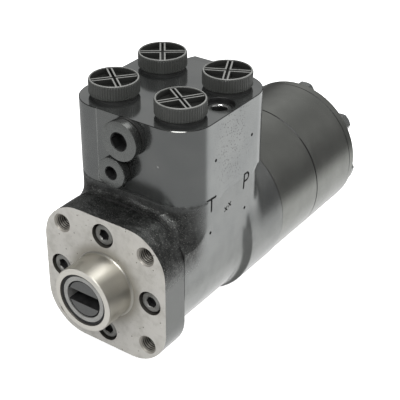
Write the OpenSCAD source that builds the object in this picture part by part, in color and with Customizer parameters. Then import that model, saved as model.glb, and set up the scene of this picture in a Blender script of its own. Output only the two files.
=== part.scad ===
// Hydrostatic steering unit: a hand metering pump with a rotary valve.
// Frame: origin at the centre of the flange's front face, on the shaft's axis.
// +X is right seen from the front, +Y runs back along the shaft, +Z is up to the ports.

/* [Mounting flange] */
// Width of the square column flange across its flats
flange_w = 84.6; // [80:0.2:92]
// Diameter of the circle that trims the flange's corners
flange_corner_d = 98.6; // [96:0.2:104]
// Thickness of the flange plate
flange_t = 17.5; // [16:0.1:24]
// Pitch circle of the four tapped column holes
column_pcd = 82.5; // [80:0.5:86]
// Thread of the column holes
column_thread_d = 10; // [8:1:10]
// Depth of the column holes
column_hole_depth = 15; // [10:0.5:15.5]
// Diameter of the pilot boss
boss_d = 38.7; // [38:0.1:42]
// Length of the pilot boss in front of the flange
boss_len = 19.25; // [15:0.25:30]
// Rounding of the boss's front edge
boss_edge_r = 1.2; // [0.5:0.1:1.8]
// Fillet at the foot of the boss
boss_foot_r = 2; // [1:0.25:3]

/* [Flange screws] */
// Pitch circle of the four socket head screws
screw_pcd = 62.9; // [62:0.1:66]
// Thread of the flange screws
screw_thread_d = 8; // [6:1:8]
// Head diameter of the flange screws
screw_head_d = 12.4; // [11:0.2:13]
// Head height of the flange screws
screw_head_h = 7.6; // [6:0.2:9]
// Hexagon key size of the flange screws
screw_key = 6; // [5:1:6]
// Diameter of the counterbores for the screw heads
screw_bore_d = 14.6; // [14:0.2:15.4]
// How far the screw heads lie below the flange face
screw_sink = 1; // [0.5:0.25:2]
// Length of the screw thread inside the housing
screw_grip = 12; // [8:0.5:13]

/* [Housing] */
// Width of the port block
block_w = 84.6; // [82:0.2:90]
// Gap between the flange and the front wall of the port block
block_gap = 4.7; // [3:0.1:8]
// Length of the port block from front wall to back wall
block_len = 83.1; // [82:0.5:86]
// Height of the top face above the shaft
block_top_z = 94.1; // [92:0.5:104]
// Radius of the port block's vertical corners
block_corner_r = 19.6; // [12:0.2:22]
// Height of the block's head above its rear step
head_h = 44.1; // [36:0.5:46]
// Depth of the rear step under the head
head_step = 4.2; // [2:0.2:6]
// Width of the pad on the back of the head
pad_w = 34.6; // [24:0.2:40]
// How far that pad stands out
pad_out = 5.2; // [2:0.2:6]
// Length of the housing from the flange to the first ring
body_len = 97.6; // [97:0.2:104]
// How far the round flange at the back of the housing stands proud of the rings
barrel_proud = 0.4; // [0.1:0.1:1.5]
// How far the round belly of the housing lies inside that flange
belly_under = 3.2; // [2:0.2:5]
// Length of that round flange
barrel_len = 35.1; // [28:0.5:40]
// Length of the blend between the body and the round flange
blend_len = 13; // [8:0.5:18]
// Diameter of the main bore for the sleeve
bore_d = 38; // [37.6:0.1:39]
// Diameter of the rivet holes in the right wall
rivet_hole_d = 2; // [1.5:0.25:3]
// Depth of the rivet holes in the right wall
rivet_hole_depth = 3; // [1.5:0.5:4]

/* [Ports] */
// Distance of the port centres from the block's sides
port_side = 19.8; // [18:0.2:21]
// Distance of the front ports from the front wall
port_front = 19.3; // [18:0.1:21]
// Distance between front and rear ports
port_pitch = 44.2; // [43:0.2:46]
// Diameter of the port bores
port_d = 20.8; // [18:0.2:21.2]
// Depth of the port bores
port_depth = 18; // [14:0.5:20]
// Diameter of the drillings that join the ports to the main bore
gallery_d = 8; // [6:0.5:8.5]
// Width of the ring grooves round the main bore
groove_w = 5; // [3:0.5:6]
// Diameter of the ring grooves round the main bore
groove_d = 48; // [45:0.5:49]

/* [Port caps] */
// Diameter of the ribbed cap heads
cap_d = 28; // [24:0.2:30]
// Height of the ribbed cap heads
cap_h = 8.8; // [7:0.2:12]
// Depth of the recess in a cap head
cap_recess = 3.6; // [2:0.2:5]
// Wall round the recess in a cap head
cap_rim = 1.3; // [0.8:0.1:2]
// Width of the cross arms in a cap head
cap_arm_w = 3.6; // [3:0.2:5]
// Width of the groove along each cross arm
cap_groove_w = 1.5; // [1:0.1:2]
// Number of fine ribs round a cap head
cap_ribs = 60; // [40:1:80]
// Height of the fine ribs round a cap head
cap_rib_h = 0.35; // [0.2:0.05:0.5]
// Depth of a cap's plug in the port
cap_plug_len = 6; // [4:0.5:12]
// Thickness of the gasket under a cap head
gasket_t = 1.5; // [1:0.1:2]
// How far a cap is drawn when it is taken out
cap_travel = 24; // [14:1:40]

/* [Front plugs] */
// Collar diameter of the large front plug
large_collar_d = 23.1; // [22:0.1:23.4]
// How far the large plug stands out of the front wall
large_out = 7.3; // [5:0.1:9]
// Offset of the large plug to the right of the shaft's plane
large_x = 1.3; // [-2:0.1:2]
// Height of the large plug above the shaft
large_z = 82.9; // [82.5:0.1:84]
// Thread diameter of the large plug
large_thread_d = 16; // [14:0.5:16]
// Hexagon key size of the large plug
large_key = 9.5; // [8:0.5:10]
// Collar diameter of the small front plug
small_collar_d = 17.8; // [15:0.1:18]
// How far the small plug stands out of the front wall
small_out = 7.8; // [5:0.1:9]
// Offset of the small plug to the right of the shaft's plane
small_x = -4.4; // [-6:0.1:-3.5]
// Height of the small plug above the shaft
small_z = 62.4; // [60:0.1:62.6]
// Thread diameter of the small plug
small_thread_d = 12; // [10:0.5:12]
// Hexagon key size of the small plug
small_key = 7; // [5:0.5:7]
// Thickness of the washers under the plug collars
plug_washer_t = 1.2; // [0.8:0.1:1.8]
// How far the large valve's poppet opens
poppet_travel = 3; // [1:0.5:4]
// How far the small valve's ball opens
ball_travel = 2; // [1:0.5:3]

/* [Top valve] */
// Distance of the top valve from the block's right side
top_valve_side = 10.7; // [10:0.1:13]
// Diameter of the recess over the top plug
top_recess_d = 16.8; // [15:0.2:17]
// Depth of the recess over the top plug
top_recess = 2.6; // [1:0.2:4]
// Thread diameter of the top plug
top_thread_d = 14; // [12:0.5:14]
// Hexagon key size of the top plug
top_key = 8; // [6:0.5:8]

/* [Rotary valve] */
// Diameter of the spool
spool_d = 30; // [29.4:0.1:31]
// Diameter of the spool's neck, which runs out through the boss
neck_d = 28.1; // [27:0.1:28.6]
// Diameter of the slotted drive insert
insert_d = 22.9; // [20:0.1:23.5]
// Width of the drive slot
slot_w = 7.3; // [5:0.1:9]
// Depth of the drive slot
slot_depth = 14; // [8:0.5:20]
// Diameter of the cross pin
pin_d = 8; // [6:0.5:9]
// How far the spool may lag the sleeve each way, in degrees
lag_angle = 8; // [5:0.5:9]
// Radial running clearance of the spool and the sleeve
run_gap = 0.03; // [0.02:0.01:0.05]
// Diameter of the cardan shaft's middle
cardan_d = 13; // [10:0.5:14]

/* [Metering set] */
// Outer diameter of the two stator rings
ring_d = 90.2; // [88:0.2:94]
// Length of the front stator ring
front_ring_len = 42.4; // [32:0.2:56]
// Length of the rear stator ring
rear_ring_len = 43.3; // [34:0.2:56]
// Distance of the stator teeth's centres from the outside of the rings
tooth_edge = 15.6; // [15.3:0.1:16.1]
// Radius of the stator teeth
tooth_r = 6.5; // [6.2:0.1:6.8]
// Eccentricity of the rotors
orbit_e = 2.6; // [2.3:0.05:2.7]
// Clearance between a rotor and the stator teeth
rotor_gap = 0.08; // [0.06:0.01:0.1]
// Thickness of the distributor plate
plate_t = 5; // [3:0.5:6]

/* [End cover] */
// How far the end cover's edge lies inside the rings
cover_shy = 0.2; // [0:0.1:0.8]
// Thickness of the end cover
cover_t = 6.1; // [5:0.1:14]
// Distance of the seven cover bolts' centres from the outside of the rings
bolt_edge = 8.1; // [7.4:0.1:8.6]
// Angle of the first cover bolt above the horizontal, in degrees
cover_bolt_angle = 35.3; // [30:0.1:40]
// Thread of the cover bolts
cover_bolt_d = 8; // [6:1:8]
// Width across the flats of the bolt heads
cover_head_af = 13; // [10:0.5:13]
// Height of the bolt heads
cover_head_h = 5.3; // [4:0.1:6]
// Thickness of the bolts' washers
cover_washer_t = 1.6; // [1:0.1:2]
// Length of the bolt thread inside the housing
cover_grip = 16; // [10:0.5:17]

/* [Hidden] */
$fn = 96;
eps = 0.01;
// Clearance between pieces that are assembled and don't move on each other
seat_gap = 0.05;
// Clearance of a bolt in its through hole, on the radius
bolt_gap = 0.3;
// Clearance between loose pieces that move past each other
free_gap = 0.3;

// Broken edges of the rings and the cover
edge_break = 0.3;

// Round pieces whose size follows the rings
barrel_d = ring_d + 2 * barrel_proud;
belly_r = barrel_d / 2 - belly_under;
cover_d = ring_d - 2 * cover_shy;
cover_pcd = ring_d - 2 * bolt_edge;
tooth_pitch_r = ring_d / 2 - tooth_edge;

// Places along the shaft
body_y = flange_t;
wall_y = body_y + block_gap;
back_y = wall_y + block_len;
rings_y = body_y + body_len;
middle_y = rings_y + front_ring_len;
cover_y = middle_y + rear_ring_len;
end_y = cover_y + cover_t;
port_x = block_w / 2 - port_side;
port_front_y = wall_y + port_front;
port_rear_y = port_front_y + port_pitch;
pin_y = (port_front_y + port_rear_y) / 2;
side_r = block_w / 2;
// The flat sides stand just inside the round belly, and the neck's top just over it
flat_x = side_r - 0.1;
neck_rise = 0.4;

// Thrust bearing between the flange and the sleeve
race_t = 1;
needle_d = 2;
bearing_gap = 0.05;
race_in_r = neck_d / 2 + free_gap;
race_out_r = bore_d / 2 + 1.6;
race_pocket_r = race_out_r + 0.4;
bearing_t = 2 * race_t + needle_d + 2 * bearing_gap;
sleeve_nose = 0.9;
rear_race_y = body_y - sleeve_nose - race_t;
needle_y = rear_race_y - bearing_gap - needle_d / 2;
front_race_y = rear_race_y - 2 * bearing_gap - needle_d - race_t;
race_pocket_y = front_race_y - seat_gap;
needle_count = 18;
needle_len = (race_out_r - race_in_r) - 2.2;
needle_mid_r = (race_out_r + race_in_r) / 2;

// Seals on the spool's neck
seal_gap = 0.05;
dust_seal_len = 4;
dust_seal_wall = 1.5;
dust_seal_sink = 1;
dust_seat_r = neck_d / 2 + seal_gap + dust_seal_wall;
dust_seat_depth = dust_seal_sink + dust_seal_len + seat_gap;
shaft_seal_len = 7.5;
shaft_seal_out_r = bore_d / 2 - 0.45;
shaft_seal_y = race_pocket_y - 0.8 - shaft_seal_len;
neck_hole_r = neck_d / 2 + 0.35;

// Seal rings between the faces
o_ring_r = 0.83;
o_groove_w = 1.9;
o_groove_depth = 1.7;
flange_o_r = race_pocket_r + 2.8;

// Metering set
teeth = 7;
lobes = teeth - 1;
cavity_r = tooth_pitch_r - tooth_r + 2 * orbit_e + 0.1;
ring_o_r = cavity_r + 2.5;
plate_r = cavity_r + 0.6;
rotor_side_gap = 0.06;
rotor_steps = 144;
spline_count = 12;
spline_out_r = 10.6;
spline_in_r = 8.9;
spline_half_w = 1.27;
spline_slack = 0.36;
cardan_head_len = 12;
cardan_head_y = rings_y + 22;
cardan_tilt = atan(orbit_e / (cardan_head_y - pin_y));
coupling_gap = 4;
coupling_y = cardan_head_y + cardan_head_len / 2 + coupling_gap;
coupling_end_y = middle_y + 13;
spacer_r = spline_in_r - 0.5;
commutator_r = plate_r - 3.4;
commutator_hole_r = 2.5;
commutator_y = rings_y - plate_t - 11;

// Rotary valve
sleeve_r = bore_d / 2 - run_gap;
sleeve_in_r = spool_d / 2 + run_gap;
sleeve_y = body_y - sleeve_nose;
sleeve_end_y = rings_y - plate_t - 4;
spool_y = -boss_len + 1.2;
shoulder_y = body_y + 2.5;
spool_end_y = sleeve_end_y - 2;
insert_y = spool_y + 0.5;
insert_end_y = body_y - 3.5;
pin_half = bore_d / 2 - 0.8;
spring_y = body_y + 6.5;
spring_w = 11;
spring_slot_h = 2.9;
// Holes through the sleeve's wall at the ring grooves and at the metering drillings
sleeve_port_r = 1.6;
sleeve_meter_r = 1.3;
spring_ring_t = 0.93;
spring_ring_len = 13;
spring_ring_y = spring_y + spring_w / 2 - spring_ring_len / 2;
chamber_r = 10.5;
chamber_y = spring_y + spring_w + 4;
fork_r = 8.7;
fork_y = pin_y - 8;
fork_end_y = pin_y + 12;
leaf_t = 0.4;
leaf_bow = 1.4;
leaf_half = sleeve_r - spring_ring_t - 0.25;

// Ring grooves: T, L, P and R, each beside its port's centre
groove_y = [port_front_y - 5.5, port_front_y + 4, port_rear_y - 6.7, port_rear_y + 2.8];
groove_side = [1, -1, 1, -1];
port_floor_z = block_top_z - port_depth;

// Check valve in the P port
check_pocket_r = 6.5;
check_pocket_depth = 14;
check_bush_h = 5;
check_seat_r = 3;
check_ball_r = 4.2;
check_ball_travel = 2;
check_floor_z = port_floor_z - check_pocket_depth;

// Valves behind the plugs
plug_thread_len = 12;
plug_groove = 0.8;
large_guide_r = large_thread_d / 2 - 2;
large_guide_end = 44;
large_seat_r = 3.6;
poppet_len = 14;
small_guide_r = small_thread_d / 2 - 1.4;
small_guide_end = 30;
small_seat_r = 2.8;
small_seat_len = 6;
small_ball_r = small_guide_r - 0.2;
// Centre of the ball on the edge of its seat
small_ball_y = small_guide_end - sqrt(small_ball_r * small_ball_r - small_seat_r * small_seat_r) - seat_gap;
top_guide_r = top_thread_d / 2 - 2;
top_plug_len = 10;
top_guide_end = 36;
top_seat_r = 2.4;
top_seat_len = 7;
top_poppet_len = 9;
top_x = block_w / 2 - top_valve_side;
top_y = pin_y + 0.9;
spring_wire_r = 0.6;
spring_rings_per_turn = 16;
spring_wire_sides = 6;
spring_turns = 6;

// Drillings between the valves and the main bore
drain_r = 2.5;
pilot_r = 2;
relief_x = top_x - 4;
relief_in_z = block_top_z - top_guide_end - 5;
relief_out_z = block_top_z - top_guide_end + 5;

// Angle of each cap's cross, as the caps happen to stand
cap_angle_left_front = 51;
cap_angle_right_front = 56;
cap_angle_left_rear = 37;
cap_angle_right_rear = 27;

// Rivet holes in the right wall, as [distance from the front wall, height]
rivet_holes = [[59.1, 71.7], [23.8, 71], [53.6, 27], [19.4, 27.6]];

// A cylinder along the shaft's direction, from y0 to y1
module y_rod(r, y0, y1) {
  translate([0, y0, 0]) rotate([-90, 0, 0]) cylinder(r=r, h=y1 - y0);
}

// A profile of [radius, y] points turned round the shaft's direction
module y_turn() {
  rotate([-90, 0, 0]) rotate_extrude() children();
}

// An outline in X and Z, extruded from y0 to y1
module y_prism(y0, y1) {
  translate([0, y1, 0]) rotate([90, 0, 0]) linear_extrude(y1 - y0) children();
}

// A tube along the shaft's direction
module y_tube(r_out, r_in, y0, y1) {
  y_turn() translate([r_in, y0]) square([r_out - r_in, y1 - y0]);
}

// Copies on a circle round the shaft
module around(count, radius, first) {
  for (i = [0:count - 1])
    let (a = first + i * 360 / count)
      translate([radius * cos(a), 0, radius * sin(a)]) children();
}

// Copies turned round the shaft
module spread(count, first) {
  for (i = [0:count - 1])
    rotate([0, -first - i * 360 / count, 0]) children();
}

// A block outline with four round corners, from y0 to y1
module round_plan(w, y0, y1, r) {
  translate([-w / 2 + r, y0]) square([w - 2 * r, y1 - y0]);
  translate([-w / 2, y0 + r]) square([w, y1 - y0 - 2 * r]);
  for (x = [-w / 2 + r, w / 2 - r], y = [y0 + r, y1 - r])
    translate([x, y]) circle(r=r);
}

// A hexagon of a width across flats, as a prism along +Z
module hexagon(across, h) {
  cylinder(d=across / cos(30), h=h, $fn=6);
}

// A round-section ring round the shaft
module o_ring(ring_r, y) {
  y_turn() translate([ring_r, y]) circle(r=o_ring_r, $fn=32);
}

// A groove for such a ring, open to the face at y and cut towards -Y
module o_groove(ring_r, y) {
  y_tube(ring_r + o_groove_w / 2, ring_r - o_groove_w / 2, y - o_groove_depth, y + eps);
}

// Points of a coil spring: one ring of wire per step
function coil_ring(r, h, turns, i, steps) =
  let (a = 360 * turns * i / steps, z = spring_wire_r + (h - 2 * spring_wire_r) * i / steps)
  [for (k = [0:spring_wire_sides - 1])
    let (b = 360 * k / spring_wire_sides, q = r + spring_wire_r * cos(b))
    [q * cos(a), q * sin(a), z + spring_wire_r * sin(b)]];

// A coil spring along +Z, of mean radius r and length h
module coil(r, h, turns=spring_turns) {
  steps = turns * spring_rings_per_turn;
  n = spring_wire_sides;
  points = [for (i = [0:steps]) each coil_ring(r, h, turns, i, steps)];
  sides = [for (i = [0:steps - 1], k = [0:n - 1])
    [i * n + k, (i + 1) * n + k, (i + 1) * n + (k + 1) % n, i * n + (k + 1) % n]];
  first = [for (k = [0:n - 1]) k];
  last = [for (k = [n - 1:-1:0]) steps * n + k];
  polyhedron(points, concat([first], sides, [last]));
}

// Flange outline: a square trimmed by a circle
module flange_outline() {
  intersection() {
    square([flange_w, flange_w], center=true);
    circle(d=flange_corner_d);
  }
}

// Neck of the housing behind the flange: flat sides and a trimmed flat top over the round belly
module neck_outline() {
  intersection() {
    translate([-flat_x, 0]) square([2 * flat_x, side_r + neck_rise]);
    circle(d=flange_corner_d);
  }
}

// Round belly, and the round flange behind it with its concave blend
module belly_profile() {
  blend_y = rings_y - barrel_len - blend_len;
  blend_r = (blend_len * blend_len + belly_under * belly_under) / (2 * belly_under);
  polygon(concat(
    [[0, body_y], [belly_r, body_y]],
    [for (i = [0:8]) let (s = blend_len * i / 8)
      [belly_r + blend_r - sqrt(blend_r * blend_r - s * s), blend_y + s]],
    [[barrel_d / 2, rings_y], [0, rings_y]]
  ));
}

// Sloped pad on the back of the head
module pad_outline() {
  slope = 2;
  polygon([
    [-pad_w / 2 - slope, back_y - block_corner_r], [pad_w / 2 + slope, back_y - block_corner_r],
    [pad_w / 2 + slope, back_y], [pad_w / 2, back_y + pad_out],
    [-pad_w / 2, back_y + pad_out], [-pad_w / 2 - slope, back_y]
  ]);
}

module housing_body() {
  step_z = block_top_z - head_h - head_step / 2;
  linear_extrude(step_z) round_plan(2 * flat_x, wall_y, back_y - head_step, block_corner_r);
  translate([0, 0, step_z]) linear_extrude(block_top_z - step_z)
    round_plan(2 * flat_x, wall_y, back_y, block_corner_r);
  translate([0, 0, side_r - 6]) linear_extrude(block_top_z - side_r + 6) pad_outline();
  y_prism(body_y, wall_y + block_corner_r + 4) neck_outline();
  y_turn() belly_profile();
}

// Ring grooves and the drillings from the ports down to them
module housing_passages() {
  for (y = groove_y)
    y_tube(groove_d / 2, bore_d / 2 - 1, y - groove_w / 2, y + groove_w / 2);
  for (i = [0:3])
    translate([groove_side[i] * port_x, groove_y[i], 0])
      cylinder(d=gallery_d, h=i == 2 ? check_floor_z + 4 : port_floor_z + 1);
  spread(teeth, 360 / teeth / 2) {
    translate([commutator_r, 0, 0])
      y_rod(commutator_hole_r, commutator_y - commutator_hole_r, rings_y - plate_t + 1);
    translate([bore_d / 2 - 1, commutator_y, 0]) rotate([0, 90, 0])
      cylinder(r=commutator_hole_r - 0.3, h=commutator_r - bore_d / 2 + 1);
  }
}

// Bores for the plugs, the valves behind them and the port threads
module housing_valve_bores() {
  for (x = [-port_x, port_x], y = [port_front_y, port_rear_y])
    translate([x, y, port_floor_z]) cylinder(d=port_d, h=port_depth + 1);
  translate([port_x, port_rear_y, check_floor_z]) cylinder(r=check_pocket_r, h=check_pocket_depth + 1);
  translate([large_x, wall_y, large_z]) {
    y_rod(large_thread_d / 2, -1, plug_thread_len + 1);
    y_rod(large_guide_r, 0, large_guide_end);
    y_rod(large_seat_r, 0, groove_y[2] - wall_y);
  }
  translate([small_x, wall_y, small_z]) {
    y_rod(small_thread_d / 2, -1, plug_thread_len + 1);
    y_rod(small_guide_r, 0, small_guide_end);
    y_rod(small_seat_r, 0, small_guide_end + small_seat_len);
  }
  translate([top_x, top_y, block_top_z]) mirror([0, 0, 1]) {
    translate([0, 0, -1]) cylinder(d=top_recess_d, h=top_recess + 1);
    cylinder(d=top_thread_d, h=top_recess + top_plug_len);
    cylinder(r=top_guide_r, h=top_guide_end);
    cylinder(r=top_seat_r, h=top_guide_end + top_seat_len);
  }
}

// Drillings that join the valves to the grooves and galleries
module housing_drains() {
  drain_z = bore_d / 2 - 3;
  translate([large_x, groove_y[2], drain_z]) cylinder(r=drain_r, h=large_z - drain_z);
  translate([small_x, wall_y + small_guide_end + small_seat_len - pilot_r - 1, drain_z])
    cylinder(r=pilot_r, h=small_z - drain_z);
  translate([relief_x, 0, relief_in_z]) y_rod(drain_r, top_y, groove_y[2]);
  translate([relief_x, 0, relief_out_z]) y_rod(drain_r, groove_y[0], top_y);
}

// The whole casting: body and port block in one
module casting() {
  difference() {
    housing_body();
    y_rod(bore_d / 2, body_y - 1, rings_y + 1);
    y_rod(plate_r + seat_gap, rings_y - plate_t, rings_y + 1);
    o_groove(ring_o_r, rings_y);
    housing_passages();
    housing_valve_bores();
    housing_drains();
    around(4, screw_pcd / 2, 0) y_rod(screw_thread_d / 2 + seat_gap, body_y - 1, body_y + screw_grip + 2);
    around(teeth, cover_pcd / 2, cover_bolt_angle)
      y_rod(cover_bolt_d / 2 + seat_gap, rings_y - cover_grip - 2, rings_y + 1);
    for (p = rivet_holes)
      translate([flat_x - rivet_hole_depth, wall_y + p[0], p[1]]) rotate([0, 90, 0])
        cylinder(d=rivet_hole_d, h=rivet_hole_depth + 1, $fn=24);
  }
}

// Space above the floor of the ports, where the casting's port block stands
module above_port_floor() {
  translate([-block_w, 0, port_floor_z]) cube([2 * block_w, rings_y + block_w, 2 * port_depth]);
}

module housing() {
  color([0.16, 0.17, 0.18]) difference() {
    casting();
    above_port_floor();
  }
}

module port_block() {
  color([0.16, 0.17, 0.18]) intersection() {
    casting();
    above_port_floor();
  }
}

// Boss with a rounded front edge and a filleted foot, as radius and y
module boss_profile() {
  r = boss_d / 2;
  translate([0, -boss_len + boss_edge_r]) square([r, boss_len - boss_edge_r + flange_t / 2]);
  translate([0, -boss_len]) square([r - boss_edge_r, boss_len]);
  translate([r - boss_edge_r, -boss_len + boss_edge_r]) circle(r=boss_edge_r, $fn=32);
  difference() {
    translate([r - eps, -boss_foot_r]) square([boss_foot_r + eps, boss_foot_r + flange_t / 2]);
    translate([r + boss_foot_r, -boss_foot_r]) circle(r=boss_foot_r, $fn=48);
  }
}

module front_flange() {
  color([0.62, 0.6, 0.56]) difference() {
    union() {
      y_prism(0, flange_t) flange_outline();
      y_turn() boss_profile();
    }
    y_rod(neck_hole_r, -boss_len - 1, flange_t + 1);
    y_rod(dust_seat_r, -boss_len - 1, -boss_len + dust_seat_depth);
    y_rod(shaft_seal_out_r + seat_gap, shaft_seal_y - seat_gap, flange_t + 1);
    y_rod(race_pocket_r, race_pocket_y, flange_t + 1);
    o_groove(flange_o_r, flange_t);
    around(4, screw_pcd / 2, 0) {
      y_rod(screw_bore_d / 2, -boss_foot_r, screw_sink + screw_head_h);
      y_rod(screw_thread_d / 2 + bolt_gap, 0, flange_t + 1);
    }
    around(4, column_pcd / 2, 45) y_rod(column_thread_d / 2, -1, column_hole_depth);
  }
}

module flange_screws() {
  head_y = screw_sink + seat_gap;
  color([0.08, 0.08, 0.08]) around(4, screw_pcd / 2, 0) difference() {
    union() {
      y_rod(screw_head_d / 2, head_y, screw_sink + screw_head_h - seat_gap);
      y_rod(screw_thread_d / 2, head_y + 1, body_y + screw_grip);
    }
    translate([0, head_y - 1, 0]) rotate([-90, 0, 0]) hexagon(screw_key, screw_head_h / 2 + 1);
  }
}

module flange_o_ring() {
  color([0.06, 0.06, 0.06]) o_ring(flange_o_r, body_y - o_groove_depth / 2);
}

module dust_seal() {
  y0 = -boss_len + dust_seal_sink;
  color([0.05, 0.05, 0.05]) y_turn() polygon([
    [neck_d / 2 + seal_gap, y0 + 0.6], [neck_d / 2 + seal_gap + 0.4, y0], [dust_seat_r - seat_gap, y0],
    [dust_seat_r - seat_gap, y0 + dust_seal_len], [neck_d / 2 + seal_gap, y0 + dust_seal_len]
  ]);
}

// A lip seal: outer wall, web and a lip that runs on the neck
module shaft_seal() {
  y0 = shaft_seal_y;
  y1 = shaft_seal_y + shaft_seal_len;
  out_r = shaft_seal_out_r;
  lip_r = neck_d / 2 + seal_gap;
  color([0.1, 0.07, 0.05]) y_turn() polygon([
    [out_r, y0], [out_r, y1], [out_r - 1, y1], [out_r - 1, y0 + 2.5],
    [lip_r + 1.6, y0 + 2.5], [lip_r + 1.6, y1 - 1], [lip_r, y1 - 1.6], [lip_r, y0 + 4.6],
    [lip_r + 0.4, y0 + 3], [lip_r + 0.2, y0]
  ]);
}

module bearing_front_race() {
  color([0.7, 0.71, 0.72]) y_tube(race_out_r, race_in_r, front_race_y, front_race_y + race_t);
}

module bearing_rear_race() {
  color([0.7, 0.71, 0.72]) y_tube(race_out_r, race_in_r, rear_race_y, rear_race_y + race_t);
}

module bearing_cage() {
  cage_t = needle_d * 0.7;
  color([0.6, 0.5, 0.3]) difference() {
    y_tube(race_out_r - 0.2, race_in_r + 0.3, needle_y - cage_t / 2, needle_y + cage_t / 2);
    spread(needle_count, 0)
      translate([needle_mid_r - needle_len / 2 - 0.2, needle_y - needle_d, -needle_d / 2 - 0.08])
        cube([needle_len + 0.4, 2 * needle_d, needle_d + 0.16]);
  }
}

module bearing_needles() {
  color([0.75, 0.76, 0.77]) spread(needle_count, 0)
    translate([needle_mid_r - needle_len / 2, needle_y, 0]) rotate([0, 90, 0])
      cylinder(d=needle_d - 0.02, h=needle_len, $fn=24);
}

module sleeve() {
  ring_seat_r = sleeve_r - spring_ring_t - seat_gap;
  color([0.5, 0.51, 0.52]) difference() {
    y_tube(sleeve_r, sleeve_in_r, sleeve_y, sleeve_end_y);
    y_tube(sleeve_r + 1, ring_seat_r, spring_ring_y - seat_gap, spring_ring_y + spring_ring_len + seat_gap);
    translate([-sleeve_r - 1, spring_y, -spring_slot_h])
      cube([2 * sleeve_r + 2, spring_w, 2 * spring_slot_h]);
    translate([-sleeve_r - 1, pin_y, 0]) rotate([0, 90, 0])
      cylinder(r=pin_d / 2 + seat_gap, h=2 * sleeve_r + 2);
    for (i = [0, 3])
      translate([0, groove_y[i], 0]) spread(lobes, 30)
        rotate([0, 90, 0]) cylinder(r=sleeve_port_r, h=sleeve_r + 1, $fn=24);
    translate([0, commutator_y, 0]) spread(2 * lobes, 0)
      rotate([0, 90, 0]) cylinder(r=sleeve_meter_r, h=sleeve_r + 1, $fn=24);
  }
}

module cross_pin() {
  color([0.72, 0.73, 0.74]) translate([-pin_half, pin_y, 0]) rotate([0, 90, 0])
    cylinder(d=pin_d, h=2 * pin_half);
}

module spring_ring() {
  color([0.45, 0.46, 0.47])
    y_tube(sleeve_r - 0.04, sleeve_r - spring_ring_t, spring_ring_y, spring_ring_y + spring_ring_len);
}

// One leaf: a flat or bowed strip across the spool, side is 1 or -1
module leaf(offset_z, bow, side) {
  mirror([0, 0, side < 0 ? 1 : 0])
    if (bow > 0) {
      bow_r = (leaf_half * leaf_half + bow * bow) / (2 * bow);
      y_prism(spring_y + 0.5, spring_y + spring_w - 0.5) intersection() {
        difference() {
          translate([0, offset_z + bow_r]) circle(r=bow_r, $fn=720);
          translate([0, offset_z + bow_r]) circle(r=bow_r - leaf_t, $fn=720);
        }
        translate([-leaf_half, 0]) square([2 * leaf_half, offset_z + bow + leaf_t]);
      }
    } else {
      translate([-leaf_half, spring_y + 0.5, offset_z]) cube([2 * leaf_half, spring_w - 1, leaf_t]);
    }
}

module leaf_springs() {
  pitch = leaf_t + 0.03;
  color([0.35, 0.4, 0.5]) for (side = [-1, 1]) {
    leaf(0.02, 0, side);
    leaf(0.02 + pitch, leaf_bow, side);
    leaf(0.02 + 2 * pitch, leaf_bow, side);
  }
}

// Slots in the spool's wall for the cross pin, long enough for the lag
module pin_slots() {
  slot_shift = spool_d / 2 * sin(lag_angle) + 0.1;
  slot_r = pin_d / 2 + 0.15;
  for (z = [-slot_shift, slot_shift])
    translate([-spool_d, pin_y, z]) rotate([0, 90, 0]) cylinder(r=slot_r, h=2 * spool_d);
  translate([-spool_d, pin_y - slot_r, -slot_shift]) cube([2 * spool_d, 2 * slot_r, 2 * slot_shift]);
}

module spool() {
  color([0.45, 0.46, 0.47]) difference() {
    union() {
      y_rod(neck_d / 2, spool_y, shoulder_y + 1);
      y_rod(spool_d / 2, shoulder_y, spool_end_y);
    }
    y_rod(insert_d / 2 + seat_gap, spool_y - 1, insert_end_y + seat_gap);
    y_rod(chamber_r, chamber_y, spool_end_y + 1);
    translate([-spool_d, spring_y, -spring_slot_h]) cube([2 * spool_d, spring_w, 2 * spring_slot_h]);
    pin_slots();
    for (i = [0:3])
      y_tube(spool_d / 2 + 1, spool_d / 2 - 1.2, groove_y[i] - groove_w / 4, groove_y[i] + groove_w / 4);
  }
}

module drive_insert() {
  color([0.32, 0.33, 0.34]) difference() {
    y_rod(insert_d / 2, insert_y, insert_end_y);
    translate([-insert_d, insert_y - 1, -slot_w / 2]) cube([2 * insert_d, slot_depth + 1, slot_w]);
  }
}

// Outline of a splined hole, or of the splined head that goes in it
module spline(in_r, out_r, half_w) {
  circle(r=in_r);
  for (i = [0:spline_count - 1]) rotate(i * 360 / spline_count)
    translate([in_r * 0.7, -half_w]) square([out_r - in_r * 0.7, 2 * half_w]);
}

// The shaft tilts from the cross pin to the rotors' offset axis
module cardan_shaft() {
  reach = cardan_head_y - pin_y;
  color([0.4, 0.41, 0.42]) translate([0, pin_y, 0]) rotate([0, 0, -cardan_tilt]) difference() {
    union() {
      y_rod(fork_r, fork_y - pin_y, fork_end_y - pin_y);
      y_turn() polygon([
        [0, fork_end_y - pin_y - 1], [fork_r, fork_end_y - pin_y], [cardan_d / 2, fork_end_y - pin_y + 3],
        [cardan_d / 2, reach - cardan_head_len / 2 - 2], [spline_in_r - 0.6, reach - cardan_head_len / 2],
        [0, reach - cardan_head_len / 2 + 1]
      ]);
      y_prism(reach - cardan_head_len / 2, reach + cardan_head_len / 2)
        spline(spline_in_r - spline_slack, spline_out_r - spline_slack, spline_half_w - spline_slack);
    }
    translate([-fork_r - 1, fork_y - pin_y - 1, -pin_d / 2 - 0.25])
      cube([2 * fork_r + 2, pin_y - fork_y + 1 + pin_d / 2 + 0.7, pin_d + 0.5]);
  }
}

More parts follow.
